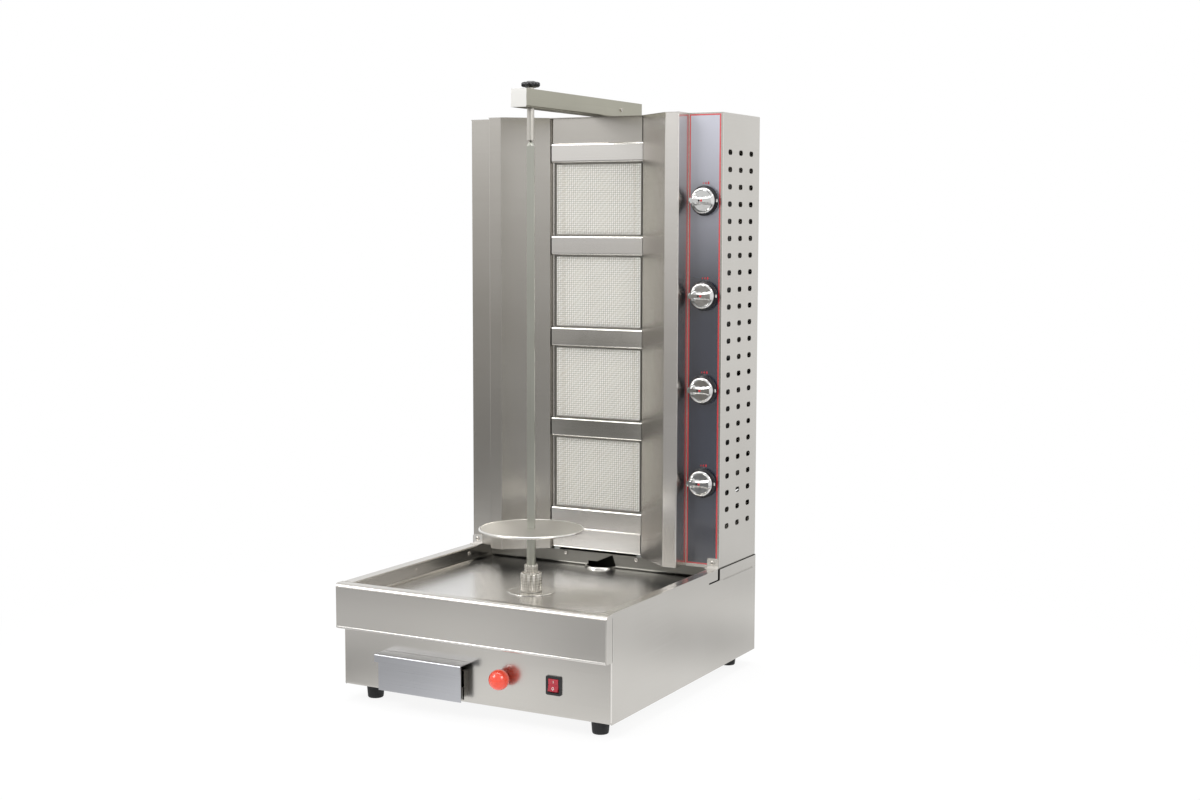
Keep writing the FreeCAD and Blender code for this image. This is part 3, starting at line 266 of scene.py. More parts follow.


# Perforated burner ceramic: chalky cream plate, holes 1.2 mm wide on a 2.6 mm pitch, darker in the holes as
# painted shade, with slanted pale and dark streaks about 7 mm apart, painted shade drawn in colour only
plate = {
    "face": ("#fffdf7", "#fffffc"),
    "chalk": 0.03,  # size of the clouds on the face
    "pitch": 0.0026,
    "hole": "#c9bfa9",
    "holeEdge": (0.2, 0.3),  # distance from a hole's middle, in pitches, over which it turns to the face
    "deep": 0.0004,
    "groove": (-1 / 60, 1 / 60, 1 / 60),  # slanted one way across and deep, straight in height
    "grooveTone": "#e2ddd0",
    "grooveShare": 0.35,  # how much of that painted shade the middle of a streak takes
}


def burnerCeramic(s):
    material, tree, shader = newMaterial("perforatedCeramic", s["face"][0], 0.9)
    cells = addPattern(tree, "TexVoronoi", s["pitch"], {"Randomness": 0.15})
    edge = dict(zip(mapRange, s["holeEdge"]))
    holes = addNode(tree, "MapRange", edge, {"Value": cells.outputs["Distance"]})
    chalk = addPattern(tree, "TexNoise", s["chalk"], {"Detail": 4.0})
    face = addNode(tree, "Mix", {6: toLinear(s["face"][0]), 7: toLinear(s["face"][1])}, {0: chalk.outputs[0]},
                   data_type="RGBA")
    # painted shade: the holes take a darker tone
    pierced = addNode(tree, "Mix", {6: toLinear(s["hole"])}, {0: holes.outputs[0], 7: face.outputs[2]},
                      data_type="RGBA")
    # painted shade: slanted streaks in colour only
    streaks = addPattern(tree, "TexWave", s["groove"], {"Distortion": 1.5, "Detail": 1.0},
                         bands_direction="DIAGONAL")
    shade = addNode(tree, "MapRange", {"To Max": s["grooveShare"]}, {"Value": streaks.outputs["Fac"]})
    grooved = addNode(tree, "Mix", {7: toLinear(s["grooveTone"])},
                      {0: shade.outputs[0], 6: pierced.outputs[2]}, data_type="RGBA")
    dressShader(tree, shader, grooved.outputs[2], None, holes.outputs[0], s["deep"])
    return material


# Printed polyester film: dark blue-grey gloss with a red line 2.4 mm wide along its edges
film = {
    "ground": "#2b2f3b",
    "groundPale": "#353946",
    "cloud": 0.05,  # size of the clouds between these two tones
    "paintedReflectionTone": "#b9bac6",  # painted reflection: the film turns paler towards the top
    "fade": (0.68, 0.98),
    "line": "#c3232b",
    "inset": -0.0006,  # the line starts outside the film, so that its cut edges are red too
    "width": 0.003,
    "skin": 0.0007,  # size and depth of the fine texture of its gloss
    "relief": 0.00001,
}


def printedFilm(s):
    low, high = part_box("control_film")
    shine = {"IOR": 1.65, "Specular IOR Level": 1.0, "Coat Weight": 1.0, "Coat IOR": 1.5,
             "Coat Roughness": 0.08}
    material, tree, shader = newMaterial("printedPolyesterFilm", s["ground"], 0.18, 0.0, **shine)
    place = addNode(tree, "TexCoord")
    axes = addNode(tree, "SeparateXYZ", links={0: place.outputs["Object"]})
    depths = []
    for axis in (0, 2):  # how far a point is inside the nearest upright or level edge
        shifted = addNode(tree, "Math", {1: (low[axis] + high[axis]) / 2}, {0: axes.outputs[axis]},
                          operation="SUBTRACT")
        away = addNode(tree, "Math", links={0: shifted.outputs[0]}, operation="ABSOLUTE")
        depths.append(addNode(tree, "Math", {0: (high[axis] - low[axis]) / 2}, {1: away.outputs[0]},
                              operation="SUBTRACT"))
    nearest = addNode(tree, "Math", links={k: depths[k].outputs[0] for k in (0, 1)}, operation="MINIMUM")
    inLine = addNode(tree, "Math", {1: s["inset"] + s["width"] / 2, 2: s["width"] / 2},
                     {0: nearest.outputs[0]}, operation="COMPARE")
    clouds = addPattern(tree, "TexNoise", s["cloud"], {"Detail": 2.0})
    ground = addNode(tree, "Mix", {6: toLinear(s["ground"]), 7: toLinear(s["groundPale"])},
                     {0: clouds.outputs[0]}, data_type="RGBA")
    # painted reflection: the film turns paler towards the top
    height = addNode(tree, "MapRange", dict(zip(mapRange, s["fade"])), {"Value": axes.outputs[2]})
    withPaintedReflection = addNode(tree, "Mix", {7: toLinear(s["paintedReflectionTone"])}, {0: height.outputs[0], 6: ground.outputs[2]},
                    data_type="RGBA")
    tone = addNode(tree, "Mix", {7: toLinear(s["line"])}, {0: inLine.outputs[0], 6: withPaintedReflection.outputs[2]},
                   data_type="RGBA")
    skin = addPattern(tree, "TexNoise", s["skin"], {"Detail": 2.0})
    dressShader(tree, shader, tone.outputs[2], None, skin.outputs[0], s["relief"])
    return material


# Lighter copy of the brushed steel as painted highlight, for the burner bars, the lower panel, the corner
# brackets and beads along edges and bends
burnerBarTones = ("#dcd9d4", "#e6e3df", 0.21, 0.24, 0.0000008)
finish = {
    "front": brushedSteel("brushedSteelLevelLines", "z"),
    "side": brushedSteel("brushedSteelSideLines", "z", "#c1beb8", "#cbc8c3"),
    "wing": brushedSteel("brushedSteelWings", "z", "#bbb7b0", "#c5c2bc", 0.23, 0.26, 0.000001),
    # Lighter copy of the wing steel on the right reflector: painted light
    "wingPaintedLight": brushedSteel("brushedSteelRightWingPaintedLight", "z", "#dfdbd6", "#e9e6e2", 0.23, 0.26, 0.000001),
    "bar": brushedSteel("brushedSteelBurnerSill", "z", *burnerBarTones),
    # painted shade: the lighter bar steel darkened towards the lower burner bars
    "barsPaintedShadeLow": tonedNear(brushedSteel("burnerBarsPaintedShadeLow", "z", *burnerBarTones), (0.0, 0.14, 0.46), 0.24,
                         "#a6a49c", 0.95),
    # Darker grey copy of the brushed steel, painted shade: the tray's rear wall under the tower, the guard
    # rims and a side seam line
    "paintedShadeGrey": brushedSteel("paintedShadeGreySteel", "z", "#77756f", "#87857f", 0.34, 0.46),
    # Near black copy of the brushed steel, painted shade: the drain spout's opening and dark lines along
    # seams
    "sooted": brushedSteel("paintedShadeBlackSteel", "z", "#2b2a28", "#3a3936", 0.5, 0.7),
    "drawer": brushedSteel("brushedSteelDrawer", "z", "#b1b2b6", "#bfc0c4", 0.26, 0.36),
    "arm": armSteel(armFaces),
    "disc": brushedSteel("groundDiscSteel", "xy", "#b3b0aa", "#c1beb8", 0.34, 0.44),
    "cover": brushedSteel("polishedCoverDisc", "xy", "#d9d7d2", "#e4e2de", 0.2, 0.28),
    "deckAcross": brushedSteel("brushedSteelDeckAcross", "yz"),
    "deckAlong": brushedSteel("brushedSteelDeckAlong", "xz"),
    "polished": tonedNear(brushedSteel("polishedSteelTray", "yz", "#d3d2d0", "#dddcda", 0.23, 0.28, 0.000001),
                        (0.11, -0.09, 0.172), 0.17, "#948f83", 0.9),
    "turned": brushedSteel("turnedPolishedSteel", "z", "#c2beb6", "#d2cfc8", 0.24, 0.36, 0.000003),
    "drawn": brushedSteel("drawnSteelBar", "xy", "#b9bab0", "#c9cac1", 0.26, 0.36),
    "black": mouldedPlastic("mouldedBlackPolyamide", "#101113", "#1d1e20", 0.3),
    "bakelite": mouldedPlastic("pressedBlackBakelite", "#060607", "#101011", 0.3, 0.15),
    "red": mouldedPlastic("pressedRedPhenolic", "#e03e26", "#ee4e34", 0.14, 0.7),
    "lens": mouldedPlastic("clearRedPolycarbonate", "#8d0d22", "#b5162f", 0.16, 0.5),
    "white": mouldedPlastic("whitePrintingInk", "#e2e2df", "#f2f2ef", 0.4),
    "redInk": mouldedPlastic("redPrintingInk", "#b81f28", "#d02a33", 0.35),
    "skirt": mouldedPlastic("mouldedBlackKnobBody", "#1a1a1d", "#28282c", 0.28, 0.2),
    "ceramic": burnerCeramic(plate),
    "film": printedFilm(film),
    **{key: cloudedFinish(row) for key, row in clouded.items()},
}
print("finishes made:", len(finish))


# Finish of every node whose shape stays as it is
nodeFinish = {
    "front": ["base_front_panel", "front_fascia", "base_rear_panel", "tower_back_panel", "control_panel"],
    "wing": ["tower_left_panel", "left_reflector", "column_top_panel"],
    "wingPaintedLight": ["right_reflector"],
    "barsPaintedShadeLow": ["column_bars"],
    # painted highlight: the sill and the corner brackets in the lighter steel
    "bar": ["column_lower_panel", "corner_brackets"],
    # painted shade on the tray's rear wall
    "paintedShadeGrey": ["tray_rear_wall"],
    "drawer": ["drawer_front"],
    "arm": ["support_arm"],
    "disc": ["meat_disc"],
    "cover": ["shaft_cover_disc"],
    "side": ["base_left_panel", "base_right_panel", "tray_left_wall", "tray_right_wall", "tower_right_panel"],
    "deckAcross": ["tower_top_plate"],
    "deckAlong": ["base_floor_pan", "drawer_box"],
    "polished": ["tray_floor"],
    # painted shade in the drain opening
    "sooted": ["drain_spout"],
    "turned": ["drive_coupling", "top_pin"],
    "drawn": ["spit"],
    "screw": ["panel_screws", "arm_pivot_bolt", "valve_stem_1", "valve_stem_2", "valve_stem_3",
              "valve_stem_4"],
    "zinc": ["drawer_runners", "carriage_rails", "motor_carriage", "burner_posts", "burner_housings",
             "gas_manifold", "mixer_tubes", "output_shaft", "pull_rod"],
    "cast": ["gear_motor"],
    "rubber": ["rubber_feet"],
    "black": ["switch_bezel", "cable_gland"],
    "bakelite": ["star_knob"],
    "lens": ["rocker"],
    "red": ["ball_knob"],
    "film": ["control_film"],
    "chrome": ["knob_1", "knob_2", "knob_3", "knob_4"],
    "ceramic": ["ceramic_plates"],
    "wire": ["mesh_screens"],
    "brass": ["gas_valves"],
}


def dressNodes():
    for key, names in nodeFinish.items():
        for name in names:
            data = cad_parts[name].data
            data.materials.clear()
            data.materials.append(finish[key])
    bare = set(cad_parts) - {name for names in nodeFinish.values() for name in names}
    print("nodes dressed, left bare:", sorted(bare))


dressNodes()


# Studio: white sweep and ceiling, a dim far wall behind the camera, three soft boxes
studio = {
    "floorHalf": 4.0,
    "floorWhite": "#ffffff",
    "floorGrain": 0.0025,
    "floorRelief": 0.00001,
    "shadow": (0.55, 1.2, 0.87, 1.0),  # metres from the middle, and how much of the real shading is hidden
    "sweep": (0.6, 2.0, 1.0, 0.20),  # metres from the middle, and how bright the sweep is mirrored there
    "backLift": (0.35, 1.2, 0.0, 0.9),  # the same by depth, so that it stays light behind the grill
    "dimSpots": [  # x, y, reach and share of light left of darker patches of floor that the steel mirrors
        (-0.42, -0.46, 0.38, 0.35), (0.0, -0.84, 0.38, 0.35), (0.15, -0.50, 0.2, 0.75),
        (0.45, 0.39, 0.32, 0.6)],
    "ambient": 0.62,
    "dimWall": "#807c76",
    "dimRange": (-0.060, 0.050),  # sines of the angles between which the dim wall turns to ceiling
    "behind": (-0.2, 0.25),  # how far back a direction looks where the dim wall ends
    "boxes": [  # place, aim, size, watts
        ((-2.2, -2.6, 2.9), (0.0, 0.0, 0.45), 1.8, 70.0),
        ((2.9, -1.2, 2.3), (0.0, 0.0, 0.5), 1.5, 38.0),
        ((0.0, 0.4, 3.4), (0.0, 0.0, 0.4), 2.4, 60.0),
    ],
}


def whiteRay(tree):  # 1 for rays from the camera and for what metal and glass mirror
    path = addNode(tree, "LightPath")
    first = addNode(tree, "Math", links={0: path.outputs["Is Camera Ray"], 1: path.outputs["Is Glossy Ray"]},
                    operation="MAXIMUM")
    return addNode(tree, "Math", links={0: first.outputs[0], 1: path.outputs["Is Transmission Ray"]},
                   operation="MAXIMUM"), path


def makeWorld(s):
    world = bpy.data.worlds.new("studioRoom")
    scene.world = world
    world.use_nodes = True
    tree = world.node_tree
    tree.nodes.clear()
    shown, path = whiteRay(tree)
    place = addNode(tree, "TexCoord")
    axes = addNode(tree, "SeparateXYZ", links={0: place.outputs["Generated"]})
    above, behind = (addNode(tree, "MapRange", dict(zip(mapRange, s[key])), {"Value": axes.outputs[axis]},
                             interpolation_type="SMOOTHSTEP").outputs[0]
                     for key, axis in (("dimRange", 2), ("behind", 1)))
    bright = addNode(tree, "Math", links={0: above, 1: behind}, operation="MAXIMUM")
    seen = addNode(tree, "Math", links={0: bright.outputs[0], 1: path.outputs["Is Camera Ray"]},
                   operation="MAXIMUM")
    tone = addNode(tree, "Mix", {6: toLinear(s["dimWall"]), 7: (1.0, 1.0, 1.0, 1.0)}, {0: seen.outputs[0]},
                   data_type="RGBA")
    view = addNode(tree, "Background", {"Strength": 1.0}, {"Color": tone.outputs[2]})
    light = addNode(tree, "Background", {"Color": (1.0, 1.0, 1.0, 1.0), "Strength": s["ambient"]})
    mix = addNode(tree, "MixShader", links={0: shown.outputs[0], 1: light.outputs[0], 2: view.outputs[0]})
    addNode(tree, "OutputWorld", links={0: mix.outputs[0]})


def makeFloor(s):
    half = s["floorHalf"]
    corners = [(-half, -half, 0), (half, -half, 0), (half, half, 0), (-half, half, 0)]
    data = bpy.data.meshes.new("studioFloor")
    data.from_pydata(corners, [], [(0, 1, 2, 3)])
    item = bpy.data.objects.new("studioFloor", data)
    scene.collection.objects.link(item)
    material, tree, shader = newMaterial("whitePaperSweep", s["floorWhite"], 0.9)
    shown, path = whiteRay(tree)
    grain = addPattern(tree, "TexNoise", s["floorGrain"], {"Detail": 2.0})
    dressShader(tree, shader, None, None, grain.outputs[0], s["floorRelief"])
    place = addNode(tree, "TexCoord")
    flat = addNode(tree, "SeparateXYZ", links={0: place.outputs["Object"]})
    away = addNode(tree, "VectorMath", links={0: place.outputs["Object"]}, operation="LENGTH")
    sweep, rear, hidden = (addNode(tree, "MapRange", dict(zip(mapRange, s[key])), {"Value": value},
                                   interpolation_type="SMOOTHSTEP").outputs[0]
                           for key, value in (("sweep", away.outputs["Value"]), ("backLift", flat.outputs[1]),
                                              ("shadow", away.outputs["Value"])))
    room = addNode(tree, "Math", links={0: sweep, 1: rear}, operation="MAXIMUM")
    for x, y, reach, left in s["dimSpots"]:
        far = addNode(tree, "VectorMath", {1: (x, y, 0.0)}, {0: place.outputs["Object"]},
                      operation="DISTANCE")
        patch = addNode(tree, "MapRange", {"From Max": reach, "To Min": left},
                        {"Value": far.outputs["Value"]}, interpolation_type="SMOOTHSTEP")
        room = addNode(tree, "Math", links={0: room.outputs[0], 1: patch.outputs[0]}, operation="MULTIPLY")
    bright = addNode(tree, "Math", links={0: room.outputs[0], 1: path.outputs["Is Camera Ray"]},
                     operation="MAXIMUM")
    glow = addNode(tree, "Emission", {"Color": (1.0, 1.0, 1.0, 1.0)}, {"Strength": bright.outputs[0]})
    share = addNode(tree, "Math", links={0: shown.outputs[0], 1: hidden}, operation="MULTIPLY")
    mix = addNode(tree, "MixShader", links={0: share.outputs[0], 1: shader.outputs[0], 2: glow.outputs[0]})
    output = next(n for n in tree.nodes if n.bl_idname == "ShaderNodeOutputMaterial")
    tree.links.new(mix.outputs[0], output.inputs["Surface"])
    data.materials.append(material)


def makeLights(boxes):
    for k, (place, aim, size, watts) in enumerate(boxes):
        data = bpy.data.lights.new("softBox" + str(k + 1), "AREA")
        data.shape = "SQUARE"
        data.size = size
        data.energy = watts
        item = bpy.data.objects.new(data.name, data)
        scene.collection.objects.link(item)
        back = np.array(place) - np.array(aim)
        back = back / np.linalg.norm(back)
        side = np.cross((0.0, 0.0, 1.0), back)
        side = side / np.linalg.norm(side)
        item.matrix_world = placed(place, side, np.cross(back, side), back)


makeWorld(studio)
makeFloor(studio)
makeLights(studio["boxes"])
print("studio made")


# Helpers for new pieces, all sizes in metres
def gridFaces(rows, across, closedRows=False, closedAcross=True):  # quads of a grid of points
    down = np.arange(rows if closedRows else rows - 1)
    over = np.arange(across if closedAcross else across - 1)
    a, b = np.meshgrid(down, over, indexing="ij")
    nextA = (a + 1) % rows
    nextB = (b + 1) % across
    corners = [a * across + b, a * across + nextB, nextA * across + nextB, nextA * across + b]
    return np.stack(corners, axis=-1).reshape(-1, 4)


def carried(first, last, key):  # a closed outline taken straight from one end to the other, both ends shut
    count = len(first)
    faces = gridFaces(2, count).tolist() + [list(range(count)), list(range(count, 2 * count))[::-1]]
    return np.array([first, last]), faces, key


def makePiece(name, parts, body, replaced=(), crease=35.0):  # parts are (points, faces, finish key)
    points, faces, keys, owner = [], [], [], []
    count = 0
    for partPoints, partFaces, key in parts:
        if key not in keys:
            keys.append(key)
        partPoints = np.asarray(partPoints, float).reshape(-1, 3)
        points.append(partPoints)
        faces += [[int(v) + count for v in face] for face in partFaces]
        owner += [keys.index(key)] * len(partFaces)
        count += len(partPoints)
    data = bpy.data.meshes.new(name)
    data.from_pydata(np.concatenate(points).tolist(), [], faces)
    data.polygons.foreach_set("material_index", owner)
    shape = bmesh.new()
    shape.from_mesh(data)
    bmesh.ops.remove_doubles(shape, verts=shape.verts, dist=1e-7)
    bmesh.ops.dissolve_degenerate(shape, dist=1e-8, edges=shape.edges)
    bmesh.ops.recalc_face_normals(shape, faces=shape.faces)
    for edge in shape.edges:
        edge.smooth = len(edge.link_faces) == 2 and edge.calc_face_angle(0.0) < math.radians(crease)
    for face in shape.faces:
        face.smooth = True
    shape.to_mesh(data)
    shape.free()
    for key in keys:
        data.materials.append(finish[key])
    item = bpy.data.objects.new(name, data)
    scene.collection.objects.link(item)
    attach(item, body)
    if replaced:
        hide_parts(*replaced)


axisFrames = {  # direction a turned profile's height runs in, and the two directions around it
    "up": ((0, 0, 1), (1, 0, 0), (0, 1, 0)),
    "front": ((0, -1, 0), (1, 0, 0), (0, 0, 1)),
    "right": ((1, 0, 0), (0, 1, 0), (0, 0, 1)),
    "left": ((-1, 0, 0), (0, 1, 0), (0, 0, 1)),
    "back": ((0, 1, 0), (1, 0, 0), (0, 0, 1)),
}


def around(steps):  # angles of a full turn
    return np.linspace(0, 2 * np.pi, steps, endpoint=False)


def polar(centre, axis, radius, height, angle):
    # point = centre + height * axis + radius * (cos a * first + sin a * second), over rows and angles
    parts = np.broadcast_arrays(height, radius * np.cos(angle), radius * np.sin(angle))
    return np.array(centre) + np.stack(parts, axis=-1) @ np.array(axisFrames[axis], float)


def turned(profile, centre, axis, key, steps=48):  # a profile of radius and height, turned about an axis
    radius, height = np.asarray(profile, float).T[:, :, None]
    return polar(centre, axis, radius, height, around(steps)), gridFaces(len(profile), steps), key


def arc(radius, height, size, start, end, steps=6):  # points of an arc about (radius, height), in degrees
    angle = np.radians(np.linspace(start, end, steps))
    return np.stack([radius + size * np.cos(angle), height + size * np.sin(angle)], axis=1)


def softStep(value):  # 0 below 0, 1 above 1, smooth between
    value = np.clip(value, 0.0, 1.0)
    return value * value * (3 - 2 * value)


# Knobs: dark skirt, chromed cap with two crescents sunk beside a raised grip
knob = {
    "x": 0.2186,
    "back": 0.119,
    "heights": (0.345, 0.5048, 0.6646, 0.8244),
    "skirtR": 0.0255,
    "skirtThick": 0.003,
    "capR": 0.0218,
    "capFront": 0.012,
    "capRound": 0.003,
    "capSide": 0.006,  # depth of the chromed edge
    "gripRise": 0.0069,
    "gripHalf": 0.0046,  # half width of the grip at its middle
    "gripFlare": 0.0032,  # extra half width at its ends
    "gripSlope": 0.0016,  # run of its flanks, and its distance from the cap's edge
    "gripInset": 0.0004,
    "sunk": 0.0026,
    "sunkSlope": (0.0012, 0.0010),  # run of a crescent's walls beside the grip and at its outer end
    "sunkInset": 0.0034,
    "beak": 0.0021,  # how far the grip's left end stands past the cap
    "beakWide": 0.16,  # in radians
    "beakRun": (0.012, 0.006),  # radius where it starts, and the run over which it grows
    "dots": ((0.0016, 1.0, "redInk"), (-0.0026, 0.9, "bakelite")),  # place across, size and finish
    "tickHalf": 0.0026,
    "tickEnds": (0.0007, 0.0009),  # gaps left to the cap and to the skirt's edge
    "tickProud": 0.00012,
}
capRings = 22  # points from the middle to where the cap's edge bends
capSteps = 120


def knobCap(s, centre):
    # height = cap front, less the sunk crescents, plus the grip, over a polar grid; the left end is drawn out
    bend = np.radians(np.linspace(0, 90, 7)[1:])
    flat = s["capR"] - s["capRound"]
    radius = np.concatenate([np.linspace(0.0, flat, capRings), flat + s["capRound"] * np.sin(bend),
                             [s["capR"], s["capR"]]])[:, None]
    height = np.concatenate([np.full(capRings, s["capFront"]),
                             s["capFront"] - s["capRound"] * (1 - np.cos(bend)),
                             [s["capFront"] - s["capSide"], s["skirtThick"] - 0.0004]])[:, None]
    angle = around(capSteps)
    x = radius * np.cos(angle)
    z = radius * np.sin(angle)
    aside = np.abs(z) - (s["gripHalf"] + s["gripFlare"] * (x / s["capR"]) ** 2)
    slope, end = s["sunkSlope"]
    crescent = softStep(aside / slope) * softStep((s["capR"] - s["sunkInset"] - radius) / end)
    slope = s["gripSlope"]
    grip = softStep(-aside / slope) * softStep((s["capR"] - s["gripInset"] - radius) / slope)
    height = height - s["sunk"] * crescent + s["gripRise"] * grip
    start, run = s["beakRun"]
    left = np.exp(-((angle - np.pi) / s["beakWide"]) ** 2) * softStep((radius - start) / run)
    drawn = 1 + s["beak"] / s["capR"] * left
    points = np.stack([centre[0] + x * drawn, centre[1] - height, centre[2] + z], axis=-1)
    edge = capRings + len(bend)  # the chromed face ends where its edge has turned back
    return [(points[:edge], gridFaces(edge, capSteps), "chrome"),
            (points[edge - 1:], gridFaces(len(points) - edge + 1, capSteps), "skirt")]


def makeKnobs(s):
    r, t = s["skirtR"], s["skirtThick"]
    skirt = np.concatenate([[(0.0, 0.0), (r - 0.0008, 0.0)], arc(r - 0.0006, t - 0.0008, 0.0006, -20, 80, 5),
                            [(r - 0.0016, t - 0.0006), (s["capR"] + 0.0006, t), (s["capR"] - 0.001, t),
                             (0.0, t)]])
    dot = np.concatenate([[(0.0, -0.0006), (0.0020, -0.0006)], arc(0.0018, 0.0, 0.0002, 0, 90, 4),
                          [(0.0, 0.0003)]])
    for k, z in enumerate(s["heights"]):
        name = "knob_" + str(k + 1)
        centre = (s["x"], s["back"], z)
        parts = [turned(skirt, centre, "front", "skirt", 96)] + knobCap(s, centre)
        for across, share, key in s["dots"]:
            top = (s["x"] + across, s["back"] - s["capFront"] - s["gripRise"], z)
            parts.append(turned(dot * (share, 1.0), top, "front", key, 32))
        ends = (s["capR"] + s["tickEnds"][0], r - s["tickEnds"][1])
        tick = [(s["x"] + a, s["back"] - t - s["tickProud"], z + b)
                for a in ends for b in (-s["tickHalf"], s["tickHalf"])]
        tick += [(x, s["back"] - t + 0.0005, up) for x, _, up in tick]
        sides = [(0, 1, 3, 2), (4, 6, 7, 5), (0, 2, 6, 4), (1, 5, 7, 3), (0, 4, 5, 1), (2, 3, 7, 6)]
        parts.append((tick, sides, "white"))
        makePiece("heatKnob" + str(k + 1), parts, name, [name])


makeKnobs(knob)


# Star knob on the upper pin: five lobes under a low dome
starKnob = {
    "radius": 0.016,
    "lobes": 5,
    "notch": 0.20,
    "sharp": 1.6,
    "hub": (0.5, 0.4),  # share of the radius where the notches start, and over which they deepen
    "rows": [  # share of the radius, height
        (0.0, 0.0), (0.55, 0.0), (0.60, 0.0006), (0.86, 0.0010), (0.95, 0.0018), (1.0, 0.0032), (1.0, 0.0062),
        (0.96, 0.0076), (0.88, 0.0086), (0.74, 0.0092), (0.52, 0.0094), (0.47, 0.0097), (0.44, 0.0102),
        (0.36, 0.0106), (0.18, 0.0108), (0.0, 0.0108)],
}


def makeStarKnob(s):
    # radius = profile radius less a cosine notch between lobes that fades towards the hub
    low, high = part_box("star_knob")
    share, height = np.array(s["rows"]).T[:, :, None]
    angle = around(120)
    notch = (0.5 - 0.5 * np.cos(s["lobes"] * angle)) ** s["sharp"]
    notch = notch * softStep((share - s["hub"][0]) / s["hub"][1])
    radius = s["radius"] * share * (1 - s["notch"] * notch)
    points = polar(((low.x + high.x) / 2, (low.y + high.y) / 2, low.z), "up", radius, height, angle)
    piece = (points, gridFaces(*points.shape[:2]), "bakelite")
    makePiece("starKnobHead", [piece], "pin", ["star_knob"], 50.0)


makeStarKnob(starKnob)


# Ball knob: pressed ball with a thin moulding line round it and a flat where the rod enters
ballKnob = {"radius": 0.0164, "flat": 0.0050, "line": 0.00012, "lineWide": 0.025}  # its width in radians


def makeBallKnob(s):
    low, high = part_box("ball_knob")
    centre = (low + high) / 2
    start = -math.acos(s["flat"] / s["radius"])
    angle = np.linspace(start, math.pi / 2, 40)
    radius = s["radius"] * np.cos(angle) - s["line"] * np.exp(-(angle / s["lineWide"]) ** 2)
    height = s["radius"] * np.sin(angle)
    profile = np.concatenate([[(0.0, height[0])], np.stack([radius, height], axis=1)])
    profile[-1, 0] = 0.0
    ball = turned(profile, centre, "front", "red", 72)
    makePiece("ballGrip", [ball], "carriage", ["ball_knob"])


makeBallKnob(ballKnob)


# Rocker: clear red wedge, upper end pressed in, with a bar and a ring printed on it
rockerKey = {
    "x": 0.1495,
    "z": 0.0747,
    "half": 0.0098,  # half height and half width
    "wide": 0.0088,
    "front": -0.27325,
    "notch": 0.0016,  # how far its middle lies behind its ends
    "notchPower": 1.3,
    "back": -0.2610,
    "pivot": -0.26275,
    "tilt": 6.0,
    "edge": 0.0007,
    "printProud": 0.00006,
    "ring": (-0.0052, 0.0014, 0.0020, 1.2),  # height, inner and outer radius, upright stretch
    "bar": (0.0032, 0.0072, 0.00035),  # lower and upper end, half width
}


def makeRocker(s):
    # a closed outline in depth and height, carried across the width and drawn in at both sides
    def faceDepth(z):
        return s["front"] + s["notch"] * (1 - (np.abs(z) / s["half"]) ** s["notchPower"])

    height = np.linspace(-s["half"], s["half"], 25)
    outline = np.concatenate([np.stack([faceDepth(height), height], 1),
                              [(s["back"], s["half"]), (s["back"], -s["half"])]])
    middle = np.array([(s["front"] + s["back"]) / 2, 0.0])
    near = s["edge"] * 0.3  # a middle step that rounds the edge
    rows = []
    for across, inset in ((-s["wide"], s["edge"]), (-s["wide"] + near, near), (-s["wide"] + s["edge"], 0.0),
                          (s["wide"] - s["edge"], 0.0), (s["wide"] - near, near), (s["wide"], s["edge"])):
        shrink = 1 - inset / np.array([s["pivot"] - s["front"], s["half"]])
        rows.append(np.column_stack([np.full(len(outline), across), (outline - middle) * shrink + middle]))
    count = len(outline)
    faces = gridFaces(len(rows), count).tolist()
    faces += [list(range(count))[::-1], [(len(rows) - 1) * count + k for k in range(count)]]

    def swing(points):  # tilts points about the pivot and brings them to the key's place
        p = np.asarray(points, float).reshape(-1, 3)
        a = math.radians(-s["tilt"])
        y = p[:, 1] - s["pivot"]
        return np.column_stack([p[:, 0] + s["x"], s["pivot"] + y * math.cos(a) - p[:, 2] * math.sin(a),
                                s["z"] + y * math.sin(a) + p[:, 2] * math.cos(a)])

    def skin(x, z):
        return np.stack([x, faceDepth(z) - s["printProud"], z], axis=-1)

    angle = around(32)
    level, inner, outer, stretch = s["ring"]
    rings = np.array([inner, outer])[:, None]
    ring = skin(rings * np.cos(angle), level + rings * np.sin(angle) * stretch)
    low, high, half = s["bar"]
    bar = skin(np.array([[-half, half]] * 5), np.linspace(low, high, 5)[:, None] + np.zeros((1, 2)))
    parts = [(swing(rows), faces, "lens"), (swing(ring), gridFaces(2, 32), "white"),
             (swing(bar), gridFaces(5, 2, False, False), "white")]
    makePiece("rockerKey", parts, "rocker", ["rocker"], 30.0)


makeRocker(rockerKey)


# Feet: tapered rubber with a top lip, a worn lower edge and a screw deep in the bore
feet = {
    "x": 0.213,
    "depths": (-0.23475, 0.24485),
    "rows": [  # radius, height
        (0.0, 0.0090), (0.0042, 0.0090), (0.0048, 0.0084), (0.0050, 0.0010), (0.0058, 0.0), (0.0112, 0.0),
        (0.0122, 0.0003), (0.0129, 0.0014), (0.0134, 0.0050), (0.0147, 0.0205), (0.0148, 0.0214),
        (0.0155, 0.0220), (0.0155, 0.0245), (0.0150, 0.0253), (0.0, 0.0253)],
    "screw": [(0.0, -0.0030), (0.0032, -0.0030), (0.0034, -0.0026), (0.0036, 0.0), (0.0, 0.0)],
    "screwTop": 0.0092,
}


def makeFeet(s):
    parts = []
    for x in (-s["x"], s["x"]):
        for y in s["depths"]:
            parts.append(turned(s["rows"], (x, y, 0.0), "up", "rubber", 64))
            parts.append(turned(s["screw"], (x, y, s["screwTop"]), "up", "screw", 24))
    makePiece("taperedFeet", parts, "housing", ["rubber_feet"])


makeFeet(feet)


